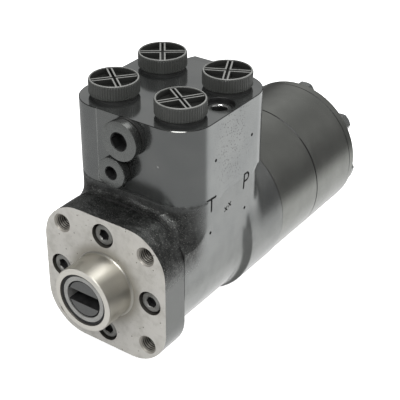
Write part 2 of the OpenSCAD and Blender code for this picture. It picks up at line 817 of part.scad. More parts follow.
module distributor_plate() {
  color([0.55, 0.56, 0.57]) difference() {
    y_rod(plate_r, rings_y - plate_t + seat_gap, rings_y);
    y_rod(chamber_r + 1, rings_y - plate_t - 1, rings_y + 1);
    around(teeth, commutator_r, 360 / teeth / 2) y_rod(commutator_hole_r, rings_y - plate_t - 1, rings_y + 1);
  }
}

// Cavity of the metering set: a circle with seven round teeth
module cavity_outline() {
  difference() {
    circle(r=cavity_r);
    for (i = [0:teeth - 1]) rotate(i * 360 / teeth) translate([tooth_pitch_r, 0]) circle(r=tooth_r);
  }
}

module stator(y0, y1) {
  r = ring_d / 2;
  difference() {
    y_turn() polygon([
      [0, y0], [r - edge_break, y0], [r, y0 + edge_break], [r, y1 - edge_break], [r - edge_break, y1], [0, y1]
    ]);
    y_prism(y0 - 1, y1 + 1) cavity_outline();
    around(teeth, cover_pcd / 2, cover_bolt_angle) y_rod(cover_bolt_d / 2 + bolt_gap, y0 - 1, y1 + 1);
    o_groove(ring_o_r, y1);
  }
}

module front_stator_ring() {
  color([0.3, 0.31, 0.31]) stator(rings_y, middle_y);
}

module rear_stator_ring() {
  color([0.3, 0.31, 0.31]) stator(middle_y, cover_y);
}

// Rotor outline: the path of a stator tooth's centre, moved in by the tooth's radius
function rotor_point(t) =
  let (
    turn = teeth * t,
    px = tooth_pitch_r * cos(t) - orbit_e * cos(turn),
    py = tooth_pitch_r * sin(t) - orbit_e * sin(turn),
    dx = -tooth_pitch_r * sin(t) + teeth * orbit_e * sin(turn),
    dy = tooth_pitch_r * cos(t) - teeth * orbit_e * cos(turn),
    n = sqrt(dx * dx + dy * dy),
    inset = tooth_r + rotor_gap
  )
  [px - inset * dy / n, py + inset * dx / n];

// Even steps along the outline, crowded together in the tight valleys between the lobes
function rotor_angle(s) = s - 0.6 * 180 / PI * sin(lobes * s) / lobes;

module rotor(y0, y1) {
  translate([orbit_e, 0, 0]) y_prism(y0, y1) difference() {
    polygon([for (i = [0:rotor_steps - 1]) rotor_point(rotor_angle(360 * i / rotor_steps))]);
    spline(spline_in_r, spline_out_r, spline_half_w);
  }
}

module front_rotor() {
  color([0.6, 0.61, 0.62]) rotor(rings_y + rotor_side_gap, middle_y - rotor_side_gap);
}

module rear_rotor() {
  color([0.6, 0.61, 0.62]) rotor(middle_y + rotor_side_gap, cover_y - rotor_side_gap);
}

module rotor_coupling() {
  color([0.5, 0.5, 0.5]) translate([orbit_e, 0, 0]) y_prism(coupling_y, coupling_end_y) difference() {
    spline(spline_in_r - seat_gap, spline_out_r - seat_gap, spline_half_w - seat_gap);
    circle(r=spline_in_r - 4);
  }
}

module rotor_spacer() {
  color([0.66, 0.66, 0.64]) translate([orbit_e, 0, 0])
    y_rod(spacer_r, coupling_end_y + free_gap, cover_y - free_gap);
}

module plate_o_ring() {
  color([0.06, 0.06, 0.06]) o_ring(ring_o_r, rings_y - o_groove_depth / 2);
}

module middle_o_ring() {
  color([0.06, 0.06, 0.06]) o_ring(ring_o_r, middle_y - o_groove_depth / 2);
}

module cover_o_ring() {
  color([0.06, 0.06, 0.06]) o_ring(ring_o_r, cover_y - o_groove_depth / 2);
}

module end_cover() {
  color([0.28, 0.29, 0.29]) difference() {
    y_turn() polygon([
      [0, cover_y], [cover_d / 2 - edge_break, cover_y], [cover_d / 2, cover_y + edge_break],
      [cover_d / 2, end_y - 2 * edge_break], [cover_d / 2 - 2 * edge_break, end_y], [0, end_y]
    ]);
    around(teeth, cover_pcd / 2, cover_bolt_angle) y_rod(cover_bolt_d / 2 + bolt_gap, cover_y - 1, end_y + 1);
  }
}

module cover_washers() {
  color([0.3, 0.3, 0.3]) around(teeth, cover_pcd / 2, cover_bolt_angle)
    y_tube(cover_head_af / 2 + 0.8, cover_bolt_d / 2 + bolt_gap, end_y, end_y + cover_washer_t);
}

module cover_bolts() {
  color([0.25, 0.25, 0.25]) spread(teeth, cover_bolt_angle) translate([cover_pcd / 2, 0, 0]) {
    y_rod(cover_bolt_d / 2, rings_y - cover_grip, end_y + cover_washer_t + 1);
    intersection() {
      translate([0, end_y + cover_washer_t, 0]) rotate([-90, 0, 0]) rotate(30) hexagon(cover_head_af, cover_head_h);
      translate([0, end_y + cover_washer_t, 0]) rotate([-90, 0, 0])
        cylinder(r1=cover_head_af / 2 + cover_head_h, r2=cover_head_af / 2 - 0.3, h=cover_head_h + 0.3);
    }
  }
}

// Head outline of a cap, with fine ribs all round
module cap_outline() {
  polygon([for (i = [0:4 * cap_ribs - 1])
    let (r = cap_d / 2 - (i % 4 < 2 ? 0 : cap_rib_h), a = 90 * i / cap_ribs)
    [r * cos(a), r * sin(a)]]);
}

// A port cap with a cross of grooved arms in its recessed top
module port_cap(x, y, turn) {
  head_z = gasket_t + seat_gap;
  pocket_r = cap_d / 2 - cap_rib_h - cap_rim;
  groove_depth = cap_recess - 0.6;
  color([0.07, 0.07, 0.07]) translate([x, y, block_top_z]) rotate(turn) difference() {
    union() {
      translate([0, 0, head_z]) linear_extrude(cap_h) cap_outline();
      translate([0, 0, -cap_plug_len]) cylinder(d=port_d - 2 * free_gap, h=cap_plug_len + head_z + 1);
    }
    difference() {
      translate([0, 0, head_z + cap_h - cap_recess]) cylinder(r=pocket_r, h=cap_recess + 1);
      for (a = [0, 90]) rotate(a)
        translate([-pocket_r - 0.5, -cap_arm_w / 2, head_z + cap_h - cap_recess - 1])
          cube([2 * pocket_r + 1, cap_arm_w, cap_recess + 0.7]);
    }
    for (a = [0, 90]) rotate(a)
      translate([-pocket_r, -cap_groove_w / 2, head_z + cap_h - groove_depth])
        cube([2 * pocket_r, cap_groove_w, groove_depth + 1]);
  }
}

module port_cap_left_front() {
  port_cap(-port_x, port_front_y, cap_angle_left_front);
}

module port_cap_right_front() {
  port_cap(port_x, port_front_y, cap_angle_right_front);
}

module port_cap_left_rear() {
  port_cap(-port_x, port_rear_y, cap_angle_left_rear);
}

module port_cap_right_rear() {
  port_cap(port_x, port_rear_y, cap_angle_right_rear);
}

module port_gaskets() {
  color([0.04, 0.04, 0.04]) for (x = [-port_x, port_x], y = [port_front_y, port_rear_y])
    translate([x, y, block_top_z]) difference() {
      cylinder(d=cap_d - 2.2, h=gasket_t);
      translate([0, 0, -1]) cylinder(d=port_d - 0.2, h=gasket_t + 2);
    }
}

// A collar plug in the front wall, with its thread running back into the block
module collar_plug(x, z, collar_d, out, thread_d, key) {
  color([0.1, 0.1, 0.11]) translate([x, wall_y, z]) difference() {
    union() {
      y_turn() polygon([
        [0, -out], [collar_d / 2 - 0.6, -out], [collar_d / 2, -out + 0.6],
        [collar_d / 2, -plug_washer_t - plug_groove - 0.3], [collar_d / 2 - 0.8, -plug_washer_t - plug_groove],
        [collar_d / 2 - 0.8, -plug_washer_t], [0, -plug_washer_t]
      ]);
      y_rod(thread_d / 2 - seat_gap, -plug_washer_t - 1, plug_thread_len);
    }
    translate([0, -out - 1, 0]) rotate([-90, 0, 0]) hexagon(key, key * 0.75 + 1);
  }
}

module plug_washer(x, z, collar_d, thread_d) {
  color([0.05, 0.05, 0.05]) translate([x, wall_y, z])
    y_tube(collar_d / 2 - 0.4, thread_d / 2 + 0.1, -plug_washer_t, 0);
}

module large_plug() {
  collar_plug(large_x, large_z, large_collar_d, large_out, large_thread_d, large_key);
}

module large_plug_washer() {
  plug_washer(large_x, large_z, large_collar_d, large_thread_d);
}

module large_valve_spring() {
  color([0.6, 0.6, 0.62]) translate([large_x, wall_y + plug_thread_len + 0.1, large_z]) rotate([-90, 0, 0])
    coil(large_guide_r - 1.2, large_guide_end - poppet_len - plug_thread_len - 0.2);
}

module large_valve_poppet() {
  tip = poppet_len - 4;
  color([0.7, 0.71, 0.72]) translate([large_x, wall_y + large_guide_end - poppet_len, large_z]) y_turn() polygon([
    [0, 0], [large_guide_r - 0.05, 0], [large_guide_r - 0.05, tip],
    [large_seat_r - 0.4, poppet_len - seat_gap], [0, poppet_len - seat_gap]
  ]);
}

module small_plug() {
  collar_plug(small_x, small_z, small_collar_d, small_out, small_thread_d, small_key);
}

module small_plug_washer() {
  plug_washer(small_x, small_z, small_collar_d, small_thread_d);
}

module small_valve_spring() {
  color([0.6, 0.6, 0.62]) translate([small_x, wall_y + plug_thread_len + 0.1, small_z]) rotate([-90, 0, 0])
    coil(small_guide_r - 1.6, small_ball_y - small_ball_r * 0.75 - plug_thread_len - 0.6, 4);
}

module small_valve_ball() {
  color([0.75, 0.76, 0.77]) translate([small_x, wall_y + small_ball_y, small_z]) sphere(r=small_ball_r);
}

module top_plug() {
  color([0.55, 0.56, 0.57]) translate([top_x, top_y, block_top_z - top_recess - top_plug_len]) difference() {
    cylinder(d=top_thread_d - 2 * seat_gap, h=top_plug_len);
    translate([0, 0, top_plug_len * 0.4]) hexagon(top_key, top_plug_len);
  }
}

module top_valve_spring() {
  spring_len = top_guide_end - top_recess - top_plug_len - top_poppet_len - 0.2;
  color([0.6, 0.6, 0.62]) translate([top_x, top_y, block_top_z - top_guide_end + top_poppet_len + 0.1])
    coil(top_guide_r - 1.2, spring_len, 5);
}

module top_valve_poppet() {
  color([0.7, 0.71, 0.72]) translate([top_x, top_y, block_top_z - top_guide_end]) rotate_extrude() polygon([
    [0, seat_gap], [top_seat_r - 0.4, seat_gap], [top_guide_r - 0.05, 3.4],
    [top_guide_r - 0.05, top_poppet_len], [0, top_poppet_len]
  ]);
}

module check_bushing() {
  color([0.6, 0.6, 0.58]) translate([port_x, port_rear_y, port_floor_z - check_bush_h]) difference() {
    cylinder(r=check_pocket_r - seat_gap, h=check_bush_h);
    translate([0, 0, -1]) cylinder(r=check_seat_r, h=check_bush_h + 2);
  }
}

module check_ball() {
  rest_z = check_floor_z + check_ball_r + seat_gap;
  color([0.75, 0.76, 0.77]) translate([port_x, port_rear_y, rest_z]) sphere(r=check_ball_r);
}

housing();
port_block();
front_flange();
flange_screws();
flange_o_ring();
dust_seal();
shaft_seal();
bearing_front_race();
bearing_cage();
bearing_needles();
bearing_rear_race();
sleeve();
cross_pin();
spring_ring();
leaf_springs();
spool();
drive_insert();
cardan_shaft();
distributor_plate();
front_stator_ring();
rear_stator_ring();
front_rotor();
rear_rotor();
rotor_coupling();
rotor_spacer();
plate_o_ring();
middle_o_ring();
cover_o_ring();
end_cover();
cover_washers();
cover_bolts();
port_cap_left_front();
port_cap_right_front();
port_cap_left_rear();
port_cap_right_rear();
port_gaskets();
large_plug();
large_plug_washer();
large_valve_spring();
large_valve_poppet();
small_plug();
small_plug_washer();
small_valve_spring();
small_valve_ball();
top_plug();
top_valve_spring();
top_valve_poppet();
check_bushing();
check_ball();
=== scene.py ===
"""Looks of a hydrostatic steering unit: castings, flange, caps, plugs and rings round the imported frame."""

import math

import bpy
import numpy as np
import openvdb
from mathutils import Matrix, Vector, noise


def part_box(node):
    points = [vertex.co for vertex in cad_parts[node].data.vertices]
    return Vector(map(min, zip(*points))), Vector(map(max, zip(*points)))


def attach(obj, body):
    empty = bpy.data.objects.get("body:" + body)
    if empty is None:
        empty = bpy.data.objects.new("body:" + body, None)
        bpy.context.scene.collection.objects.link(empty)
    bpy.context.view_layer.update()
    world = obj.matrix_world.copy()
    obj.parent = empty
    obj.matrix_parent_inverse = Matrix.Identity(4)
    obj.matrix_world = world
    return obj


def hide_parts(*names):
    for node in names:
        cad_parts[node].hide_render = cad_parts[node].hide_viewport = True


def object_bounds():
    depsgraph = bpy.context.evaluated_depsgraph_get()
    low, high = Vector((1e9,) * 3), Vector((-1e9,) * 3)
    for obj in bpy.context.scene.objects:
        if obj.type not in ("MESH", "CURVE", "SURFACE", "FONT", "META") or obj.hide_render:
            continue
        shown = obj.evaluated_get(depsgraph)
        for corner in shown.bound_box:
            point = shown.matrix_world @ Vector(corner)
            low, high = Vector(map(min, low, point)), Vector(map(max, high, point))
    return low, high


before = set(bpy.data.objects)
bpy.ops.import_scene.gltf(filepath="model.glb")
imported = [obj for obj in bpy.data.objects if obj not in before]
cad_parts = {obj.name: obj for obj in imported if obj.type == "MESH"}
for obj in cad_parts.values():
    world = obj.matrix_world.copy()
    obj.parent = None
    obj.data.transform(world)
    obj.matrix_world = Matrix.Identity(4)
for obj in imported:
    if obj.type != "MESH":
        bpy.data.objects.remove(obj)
cad_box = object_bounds()

# Lengths below are in millimetres; meshes are made in metres
MM = 0.001
FINE = 160
COARSE = 48


def span(node):
    """Lowest and highest corner of a CAD node, in millimetres."""
    low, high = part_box(node)
    return low / MM, high / MM


def middle(node):
    """Centre of a CAD node's box, in millimetres."""
    low, high = span(node)
    return (low + high) / 2


# Sizes that the frame gives
FLANGE_LOW, FLANGE_HIGH = span("front_flange")
HOUSING_HIGH = span("housing")[1]
HALF_W = FLANGE_HIGH.x
FLANGE_T = FLANGE_HIGH.y
BOSS_LEN = -FLANGE_LOW.y
TOP_Z = span("port_block")[1].z
RINGS_Y = HOUSING_HIGH.y
BARREL_R = HOUSING_HIGH.x
WALL_Y = span("large_plug_washer")[1].y
FACE_Y = span("large_plug")[0].y
MIDDLE_Y = span("front_stator_ring")[1].y
COVER_Y = span("rear_stator_ring")[1].y
PLATE_POCKET_R = span("distributor_plate")[1].x + 0.05
INSERT_R = span("drive_insert")[1].x
CAP_TOP = span("port_cap_left_front")[1].z
CAP_NODES = ["port_cap_left_front", "port_cap_right_front", "port_cap_left_rear", "port_cap_right_rear"]

# Sizes repeated from the construction: block, head and pad
BLOCK_LEN = 83.1
BLOCK_CORNER_R = 19.6
HEAD_H = 44.1
HEAD_STEP = 4.2
PAD_W = 34.6
PAD_OUT = 5.2
PAD_Z = 36.0
PAD_SLOPE = 2.0
# Main bore, its ring grooves, and O-ring grooves as (width, depth)
BORE_R = 19.0
GROOVE_R = 24.0
GROOVE_W = 5.0
GROOVE_OFFSETS = [-5.5, 4.0, -6.7, 2.8]
PLATE_T = 5.0
PLATE_O_RING_R = 31.4
FLANGE_O_RING_R = 23.8
O_GROOVE = (1.9, 1.7)
# Ports and the drillings below them
PORT_R = 10.4
PORT_DEPTH = 18.0
PORT_BEVEL = 0.6
GALLERY_R = 4.0
GALLERY_LOW = 10.0
CHECK_POCKET = (6.5, 14.0)
# Flange: its trimming circle and round, its boss, column holes and screws
TRIM_R = 49.3
TRIM_SOFT_R = 24.0
BOSS_R = 19.35
COLUMN_PCD_R = 41.25
COLUMN_R = 5.0
COLUMN_DEPTH = 15.0
THREAD_PITCH = 1.5
SCREW_PCD_R = 31.45
SCREW_R = 4.0
SCREW_HEAD_R = 6.2
SCREW_BORE_R = 7.3
SCREW_FLOOR = 8.6
SCREW_HOLE_DEPTH = 14.0
# Cover bolts
TEETH = 7
COVER_PCD_R = 37.0
COVER_BOLT_ANGLE = 35.3
COVER_HOLE_DEPTH = 18.0
HOLE_GAP = 0.05

# Edges and rounds of the looks
TOP_BEVEL = 0.32
SEAM_CHAMFER = 0.45
BOSS_FOOT_R = 1.1
BOSS_EDGE_R = 0.9
COLUMN_BEVEL = 0.8
COLUMN_MOUTH = 0.5
# Milled strip of the front wall
MILLED_X = (-19.5, 17.0)
# Painted shade of pits in the right wall: their middle, how far they are dense and reach from it, and where
# they begin
PITTED_Y = 62.0
PITTED_HALF = (6.0, 22.0)
PITTED_Z = (45.0, 60.0)
# Painted glint on the top edge at the front right corner, across the wall and back from it
GLINT_X = (22.0, 27.0)
GLINT_DEPTH = (7.0, 11.0)
# Where the coarse skin of the flange's top and the neck sets in, from below, behind and above
COARSE_LOW = (6.0, 24.0)
COARSE_BACK = (40.0, 26.0)
COARSE_HIGH = (50.0, 43.5)
# Share of its relief that the rest of the casting has
SMOOTH_SHARE = 0.08
# Half widths of the painted shade in the seams between the rings, dark and faded
SEAM_HALF = (0.4, 0.6)


# Mesh building

def in_scene(name, data):
    """A new object in the scene."""
    made = bpy.data.objects.new(name, data)
    bpy.context.scene.collection.objects.link(made)
    return made


def mesh_piece(name, verts, faces, place=None):
    """A mesh object from points in millimetres, moved by a placing matrix in millimetres."""
    points = [Vector(v) if place is None else place @ Vector(v) for v in verts]
    mesh = bpy.data.meshes.new(name)
    mesh.from_pydata([p * MM for p in points], [], faces)
    mesh.validate()
    mesh.update()
    piece = in_scene(name, mesh)
    face_outwards(piece)
    return piece


def face_outwards(piece):
    """Turns a closed mesh's faces outwards."""
    mesh = piece.data
    volume = 0.0
    mesh.calc_loop_triangles()
    for tri in mesh.loop_triangles:
        a, b, c = (mesh.vertices[i].co for i in tri.vertices)
        volume += a.dot(b.cross(c))
    if volume < 0:
        mesh.flip_normals()


def along_y(x=0.0, y=0.0, z=0.0, turn=0.0):
    """A placing matrix: local +Z goes to +Y, with local X turned about it by an angle in degrees."""
    upright = Matrix(((1, 0, 0, 0), (0, 0, 1, 0), (0, 1, 0, 0), (0, 0, 0, 1)))
    return Matrix.Translation((x, y, z)) @ upright @ Matrix.Rotation(math.radians(turn), 4, "Z")


def along_z(x=0.0, y=0.0, z=0.0, turn=0.0):
    """A placing matrix that keeps local +Z upright."""
    return Matrix.Translation((x, y, z)) @ Matrix.Rotation(math.radians(turn), 4, "Z")


def along_x(x=0.0, y=0.0, z=0.0):
    """A placing matrix: local +Z goes to +X, local X to +Y and local Y to +Z."""
    return Matrix.Translation((x, y, z)) @ Matrix(((0, 0, 1, 0), (1, 0, 0, 0), (0, 1, 0, 0), (0, 0, 0, 1)))


def polar(r, angle):
    """The point at a radius and an angle in degrees."""
    return r * math.cos(math.radians(angle)), r * math.sin(math.radians(angle))


def round_shaft(r, angle, turn=0.0):
    """along_y's placing matrix at a radius from the shaft's axis, at an angle from +X."""
    x, z = polar(r, angle)
    return along_y(x, 0, z, turn)


def downward(x, y, z):
    """A placing matrix: local +Z goes down from a point."""
    return Matrix.Translation((x, y, z)) @ Matrix.Diagonal((1, 1, -1, 1))


def lathe(name, profile, place, steps=FINE):
    """A closed solid: a loop of (radius, distance) points turned round the local Z axis."""
    verts, rows = [], []
    for r, d in profile:
        if r < 1e-6:
            rows.append([len(verts)] * steps)
            verts.append((0, 0, d))
            continue
        rows.append(range(len(verts), len(verts) + steps))
        verts += [(*polar(r, 360 * i / steps), d) for i in range(steps)]
    faces = []
    for a, b in zip(rows, rows[1:] + rows[:1]):
        for i in range(steps):
            j = (i + 1) % steps
            corners = list(dict.fromkeys((a[i], a[j], b[j], b[i])))
            if len(corners) > 2:
                faces.append(corners)
    return mesh_piece(name, verts, faces, place)


def rod(name, r, d0, d1, place, steps=FINE):
    """A plain cylinder along the local Z axis."""
    return lathe(name, [(0, d0), (r, d0), (r, d1), (0, d1)], place, steps)


def loft(name, layers, place=None):
    """A closed solid through layers of (height, outline), with equal numbers of (x, y) points."""
    count = len(layers[0][1])
    verts = [(x, y, d) for d, outline in layers for x, y in outline]
    faces = []
    for k in range(len(layers) - 1):
        for i in range(count):
            j = (i + 1) % count
            faces.append([k * count + i, k * count + j, (k + 1) * count + j, (k + 1) * count + i])
    faces.append(list(range(count - 1, -1, -1)))
    faces.append([(len(layers) - 1) * count + i for i in range(count)])
    return mesh_piece(name, verts, faces, place)


def box(name, low, high):
    """A plain block between two corners."""
    (x0, y0, z0), (x1, y1, z1) = low, high
    outline = [(x0, y0), (x1, y0), (x1, y1), (x0, y1)]
    return loft(name, [(z0, outline), (z1, outline)])


def arc(cx, cy, r, a0, a1, steps):
    """Points of an arc, from one angle to another in degrees, both ends included."""
    points = (polar(r, a0 + (a1 - a0) * i / steps) for i in range(steps + 1))
    return [(cx + x, cy + y) for x, y in points]


def strip(half_x, half_y):
    """Outline of a rectangle round the origin."""
    return [(-half_x, -half_y), (half_x, -half_y), (half_x, half_y), (-half_x, half_y)]


def finished(target, tools, operation):
    """Applies boolean steps to target, one tool after another, and removes the tools."""
    for tool in tools:
        step = target.modifiers.new("step", "BOOLEAN")
        step.operation = operation
        step.solver = "MANIFOLD"
        step.material_mode = "TRANSFER"
        step.object = tool
    graph = bpy.context.evaluated_depsgraph_get()
    made = bpy.data.meshes.new_from_object(target.evaluated_get(graph))
    made.name = target.name
    target.modifiers.clear()
    target.data = made
    for tool in tools:
        bpy.data.objects.remove(tool)
    return target


def joined(target, *tools):
    return finished(target, tools, "UNION")


def carved(target, *tools):
    return finished(target, tools, "DIFFERENCE")


def dressed(piece, look):
    """Gives every face of a piece one of the LOOKS."""
    piece.data.materials.clear()
    piece.data.materials.append(LOOKS[look])
    return piece


def cutter(look, tools):
    """One cutter of several, all dressed in one look."""
    return joined(*[dressed(tool, look) for tool in tools])


def ready(piece, body, slot, *nodes, angle=32):
    """Shades a finished piece, and fits it on its body in place of its CAD nodes."""
    piece.data.shade_smooth()
    piece.data.set_sharp_from_angle(angle=math.radians(angle))
    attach(piece, body)
    if nodes:
        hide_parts(*nodes)
    return piece


def thread_profile(r, depth, pitch, mouth, bevel):
    """Profile of a tapped hole's cutter: a bevelled mouth, V-grooves of one pitch, and a drilled point."""
    crest = r - 0.45 * pitch
    points = [(0, -1.0), (r + bevel + 1.0, -1.0), (r, bevel)]
    d = bevel + mouth
    while d + pitch < depth - pitch:
        points += [(crest, d), (crest, d + 0.2 * pitch), (r, d + 0.5 * pitch), (r, d + 0.6 * pitch)]
        d += pitch
    return points + [(crest, d), (crest, depth - 0.6 * crest), (0, depth)]


def stepped(start, steps, mouth=()):
    """Profile of a bore's cutter: (radius, end) steps from a start, below the points of its mouth."""
    points = [(0, mouth[0][1] if mouth else start), *mouth]
    for r, end in steps:
        points += [(r, start), (r, end)]
        start = end
    return points + [(0, start)]


# Materials

class Surface:
    """A material under construction, with short calls for its nodes."""

    def __init__(self, name, **constants):
        self.material = bpy.data.materials.new(name)
        self.material.use_nodes = True
        self.tree = self.material.node_tree
        self.shader = self.tree.nodes["Principled BSDF"]
        self.place = self.tree.nodes.new("ShaderNodeTexCoord").outputs["Object"]
        for key, value in constants.items():
            self.feed(self.shader.inputs[key.replace("_", " ")], value)

    def node(self, kind, inputs=(), **settings):
        made = self.tree.nodes.new("ShaderNode" + kind)
        for key, value in settings.items():
            setattr(made, key, value)
        for key, value in dict(inputs).items():
            self.feed(made.inputs[key], value)
        return made

    def feed(self, socket, value):
        """Links a node's output to a socket, or sets a value or a colour of three parts."""
        if isinstance(value, bpy.types.NodeSocket):
            self.tree.links.new(value, socket)
        else:
            socket.default_value = (*value, 1.0) if isinstance(value, tuple) else value

    def noise(self, size, detail=3.0, roughness=0.55, place=None):
        """Noise from 0 to 1, with features about size millimetres wide."""
        made = self.node("TexNoise", {
            "Vector": place or self.place, "Scale": 1 / (size * MM), "Detail": detail, "Roughness": roughness})
        return made.outputs["Fac"]

    def turned_lines(self, size, drawn_out):
        """Noise drawn out into lines round the shaft's axis."""
        x, y, z = self.axes()
        along = self.times(self.math("ARCTAN2", z, x), drawn_out)
        drawn = self.node("CombineXYZ", {"X": along, "Y": y, "Z": 0.0})
        return self.noise(size, 3, place=drawn.outputs["Vector"])

    def specks(self, size, share):
        """1 in small random spots, size millimetres apart, and 0 elsewhere."""
        cells = self.node("TexVoronoi", {"Vector": self.place, "Scale": 1 / (size * MM)})
        return self.ramp(cells.outputs["Distance"], share, share * 0.5)

    def ramp(self, value, low, high, to_low=0.0, to_high=1.0):
        """A smooth step: to_low below low, and to_high above high."""
        made = self.node("MapRange", {
            "Value": value, "From Min": low, "From Max": high, "To Min": to_low, "To Max": to_high})
        made.interpolation_type = "SMOOTHSTEP"
        return made.outputs["Result"]

    def band(self, value, low, high, to_low=0.0, to_high=1.0):
        """A ramp of a length, between two places in millimetres."""
        return self.ramp(value, low * MM, high * MM, to_low, to_high)

    def math(self, operation, a, b=0.0):
        made = self.node("Math", {0: a, 1: b}, operation=operation)
        return made.outputs["Value"]

    def times(self, a, b):
        return self.math("MULTIPLY", a, b)

    def mix(self, factor, a, b):
        """Mix of two colours."""
        return self.node("Mix", {"Factor": factor, 6: a, 7: b}, data_type="RGBA").outputs[2]

    def mix_value(self, factor, a, b):
        """Mix of two values."""
        return self.node("Mix", {"Factor": factor, 2: a, 3: b}, data_type="FLOAT").outputs[0]

    def axes(self):
        """The X, Y and Z of a point in metres."""
        return self.node("SeparateXYZ", {"Vector": self.place}).outputs

    def off_shaft(self):
        """Distance from the shaft's axis in metres."""
        axes = self.axes()
        squares = [self.times(axes[name], axes[name]) for name in "XZ"]
        return self.math("SQRT", self.math("ADD", *squares))

    def off_place(self, value, place):
        """Distance of a length from a place in millimetres, in metres."""
        return self.math("ABSOLUTE", self.math("SUBTRACT", value, place * MM))

    def clouds(self, size, one, other, low=0.3, high=0.7, detail=2):
        """Two colours in soft clouds of a size in millimetres."""
        return self.mix(self.ramp(self.noise(size, detail), low, high), one, other)

    def uneven(self, size, low, high, detail=2):
        """A value that wanders between low and high."""
        return self.ramp(self.noise(size, detail), 0.25, 0.75, low, high)

    def colour(self, value):
        self.feed(self.shader.inputs["Base Color"], value)

    def roughness(self, value):
        self.feed(self.shader.inputs["Roughness"], value)

    def bump(self, *layers):
        """Relief from (height, depth in millimetres) layers."""
        normal = None
        for height, depth in layers:
            made = self.node("Bump", {"Height": height, "Distance": depth * MM, "Strength": 1.0})
            if normal is not None:
                self.feed(made.inputs["Normal"], normal)
            normal = made.outputs["Normal"]
        self.feed(self.shader.inputs["Normal"], normal)
        return self


# Tint of the paint's reflection where it is seen edge-on
DULL_RIM = (0.78, 0.78, 0.78)


def machined_paint():
    """Thin black-grey paint on milled cast iron, glossier on the top face, with painted shade of pits on the
    right wall, a painted highlight along the milled strip's edge, and a top edge painted dark as shade with a
    painted glint at the front right corner.
    """
    s = Surface("machined_paint", Metallic=0.94)
    x, y, z = s.axes()
    on_wall = s.times(s.band(x, HALF_W - 0.9, HALF_W - 0.5), s.band(z, *PITTED_Z))
    share = s.band(s.off_place(y, PITTED_Y), PITTED_HALF[1], PITTED_HALF[0], 0.1, 0.27)
    cells = s.node("TexVoronoi", {"Vector": s.place, "Scale": 1 / (1.5 * MM)}).outputs["Distance"]
    # Dark spots on the right wall: painted shade of pits that the mesh doesn't have
    pit_shade = s.times(on_wall, s.ramp(s.math("SUBTRACT", share, cells), 0.0, 0.08))
    paint = s.clouds(22, (0.245, 0.254, 0.252), (0.275, 0.283, 0.278))
    paint = s.mix(pit_shade, paint, (0.05, 0.05, 0.05))
    # A pale line along the milled strip's left edge: a painted highlight where its step would catch light
    at_front = s.band(y, WALL_Y + 0.8, WALL_Y + 0.3)
    line = s.times(at_front, s.band(s.off_place(x, MILLED_X[0]), 0.35, 0.1))
    paint = s.mix(line, paint, (0.55, 0.56, 0.55))
    # The top edge's bevel is painted near black as shade, and pale at the front right corner as a painted glint
    above = s.band(z, TOP_Z - TOP_BEVEL - 0.1, TOP_Z - TOP_BEVEL)
    edge_shade_and_glint = s.times(above, s.band(z, TOP_Z - 0.02, TOP_Z - 0.08))
    highlight_and_wear = s.times(s.band(x, *GLINT_X), s.band(y, WALL_Y + GLINT_DEPTH[1], WALL_Y + GLINT_DEPTH[0]))
    edge = s.mix(highlight_and_wear, (0.05, 0.05, 0.05), (0.22, 0.22, 0.21))
    s.colour(s.mix(edge_shade_and_glint, paint, edge))
    on_top = s.band(z, TOP_Z - 0.5, TOP_Z - 0.2)
    s.roughness(s.mix_value(on_top, s.ramp(s.noise(0.9, 3, 0.6), 0.2, 0.8, 0.16, 0.21), 0.13))
    return s.bump((s.noise(2.5, 2), 0.002), (s.noise(12, 2), 0.02)).material


def coarse_zone(s):
    """1 on the coarse skin, and 0 on the smoother rest."""
    axes = s.axes()
    across = s.times(s.band(axes["Z"], *COARSE_LOW), s.band(axes["Z"], *COARSE_HIGH))
    return s.times(across, s.band(axes["Y"], *COARSE_BACK))


def cast_paint():
    """The same paint on the skin of the casting."""
    s = Surface("cast_paint", Metallic=0.92, Specular_Tint=DULL_RIM)
    axes = s.axes()
    coarse = coarse_zone(s)
    cloud = s.ramp(s.noise(12, 2), 0.3, 0.7)
    belly = s.mix(cloud, (0.205, 0.211, 0.204), (0.245, 0.251, 0.243))
    wall = s.mix(cloud, (0.243, 0.251, 0.248), (0.272, 0.279, 0.274))
    smooth_skin = s.mix(s.band(axes["Z"], -10, 25), belly, wall)
    on_flange = s.band(axes["Y"], FLANGE_T + 0.2, FLANGE_T - 0.1, 0.0, 0.75)
    smooth_skin = s.mix(on_flange, smooth_skin, (0.15, 0.154, 0.15))
    coarse_skin = s.clouds(4, (0.062, 0.064, 0.062), (0.115, 0.118, 0.114), 0.35, 0.65, 3)
    # Painted glints: bright specks on the coarse skin
    glints = s.times(coarse, s.ramp(s.noise(0.8, 4, 0.75), 0.56, 0.66))
    s.colour(s.mix(glints, s.mix(coarse, smooth_skin, coarse_skin), (0.38, 0.38, 0.365)))
    s.roughness(s.mix_value(coarse, s.uneven(0.9, 0.2, 0.25), 0.36))
    share = s.ramp(coarse, 0.0, 1.0, SMOOTH_SHARE, 1.0)
    skin = s.times(s.noise(1.0, 4, 0.65), share)
    waves = s.times(s.noise(3.2, 2), share)
    return s.bump((skin, 0.3), (waves, 0.3)).material


def ring_paint():
    """Satin paint over turned steel rings, with painted shade in the seams between them."""
    s = Surface("ring_paint_look", Metallic=0.92, Specular_Tint=DULL_RIM)
    y = s.axes()["Y"]
    # Painted shade: near black in the seams between the rings
    seam_shade = 0.0
    for place in (RINGS_Y, MIDDLE_Y, COVER_Y):
        seam_shade = s.math("MAXIMUM", seam_shade, s.band(s.off_place(y, place), SEAM_HALF[1], SEAM_HALF[0]))
    paint = s.clouds(18, (0.228, 0.233, 0.218), (0.262, 0.267, 0.25))
    s.colour(s.mix(seam_shade, paint, (0.03, 0.03, 0.03)))
    lines = s.turned_lines(0.35, 0.004)
    s.roughness(s.ramp(lines, 0.2, 0.8, 0.2, 0.25))
    return s.bump((lines, 0.002), (s.noise(12, 2), 0.02)).material


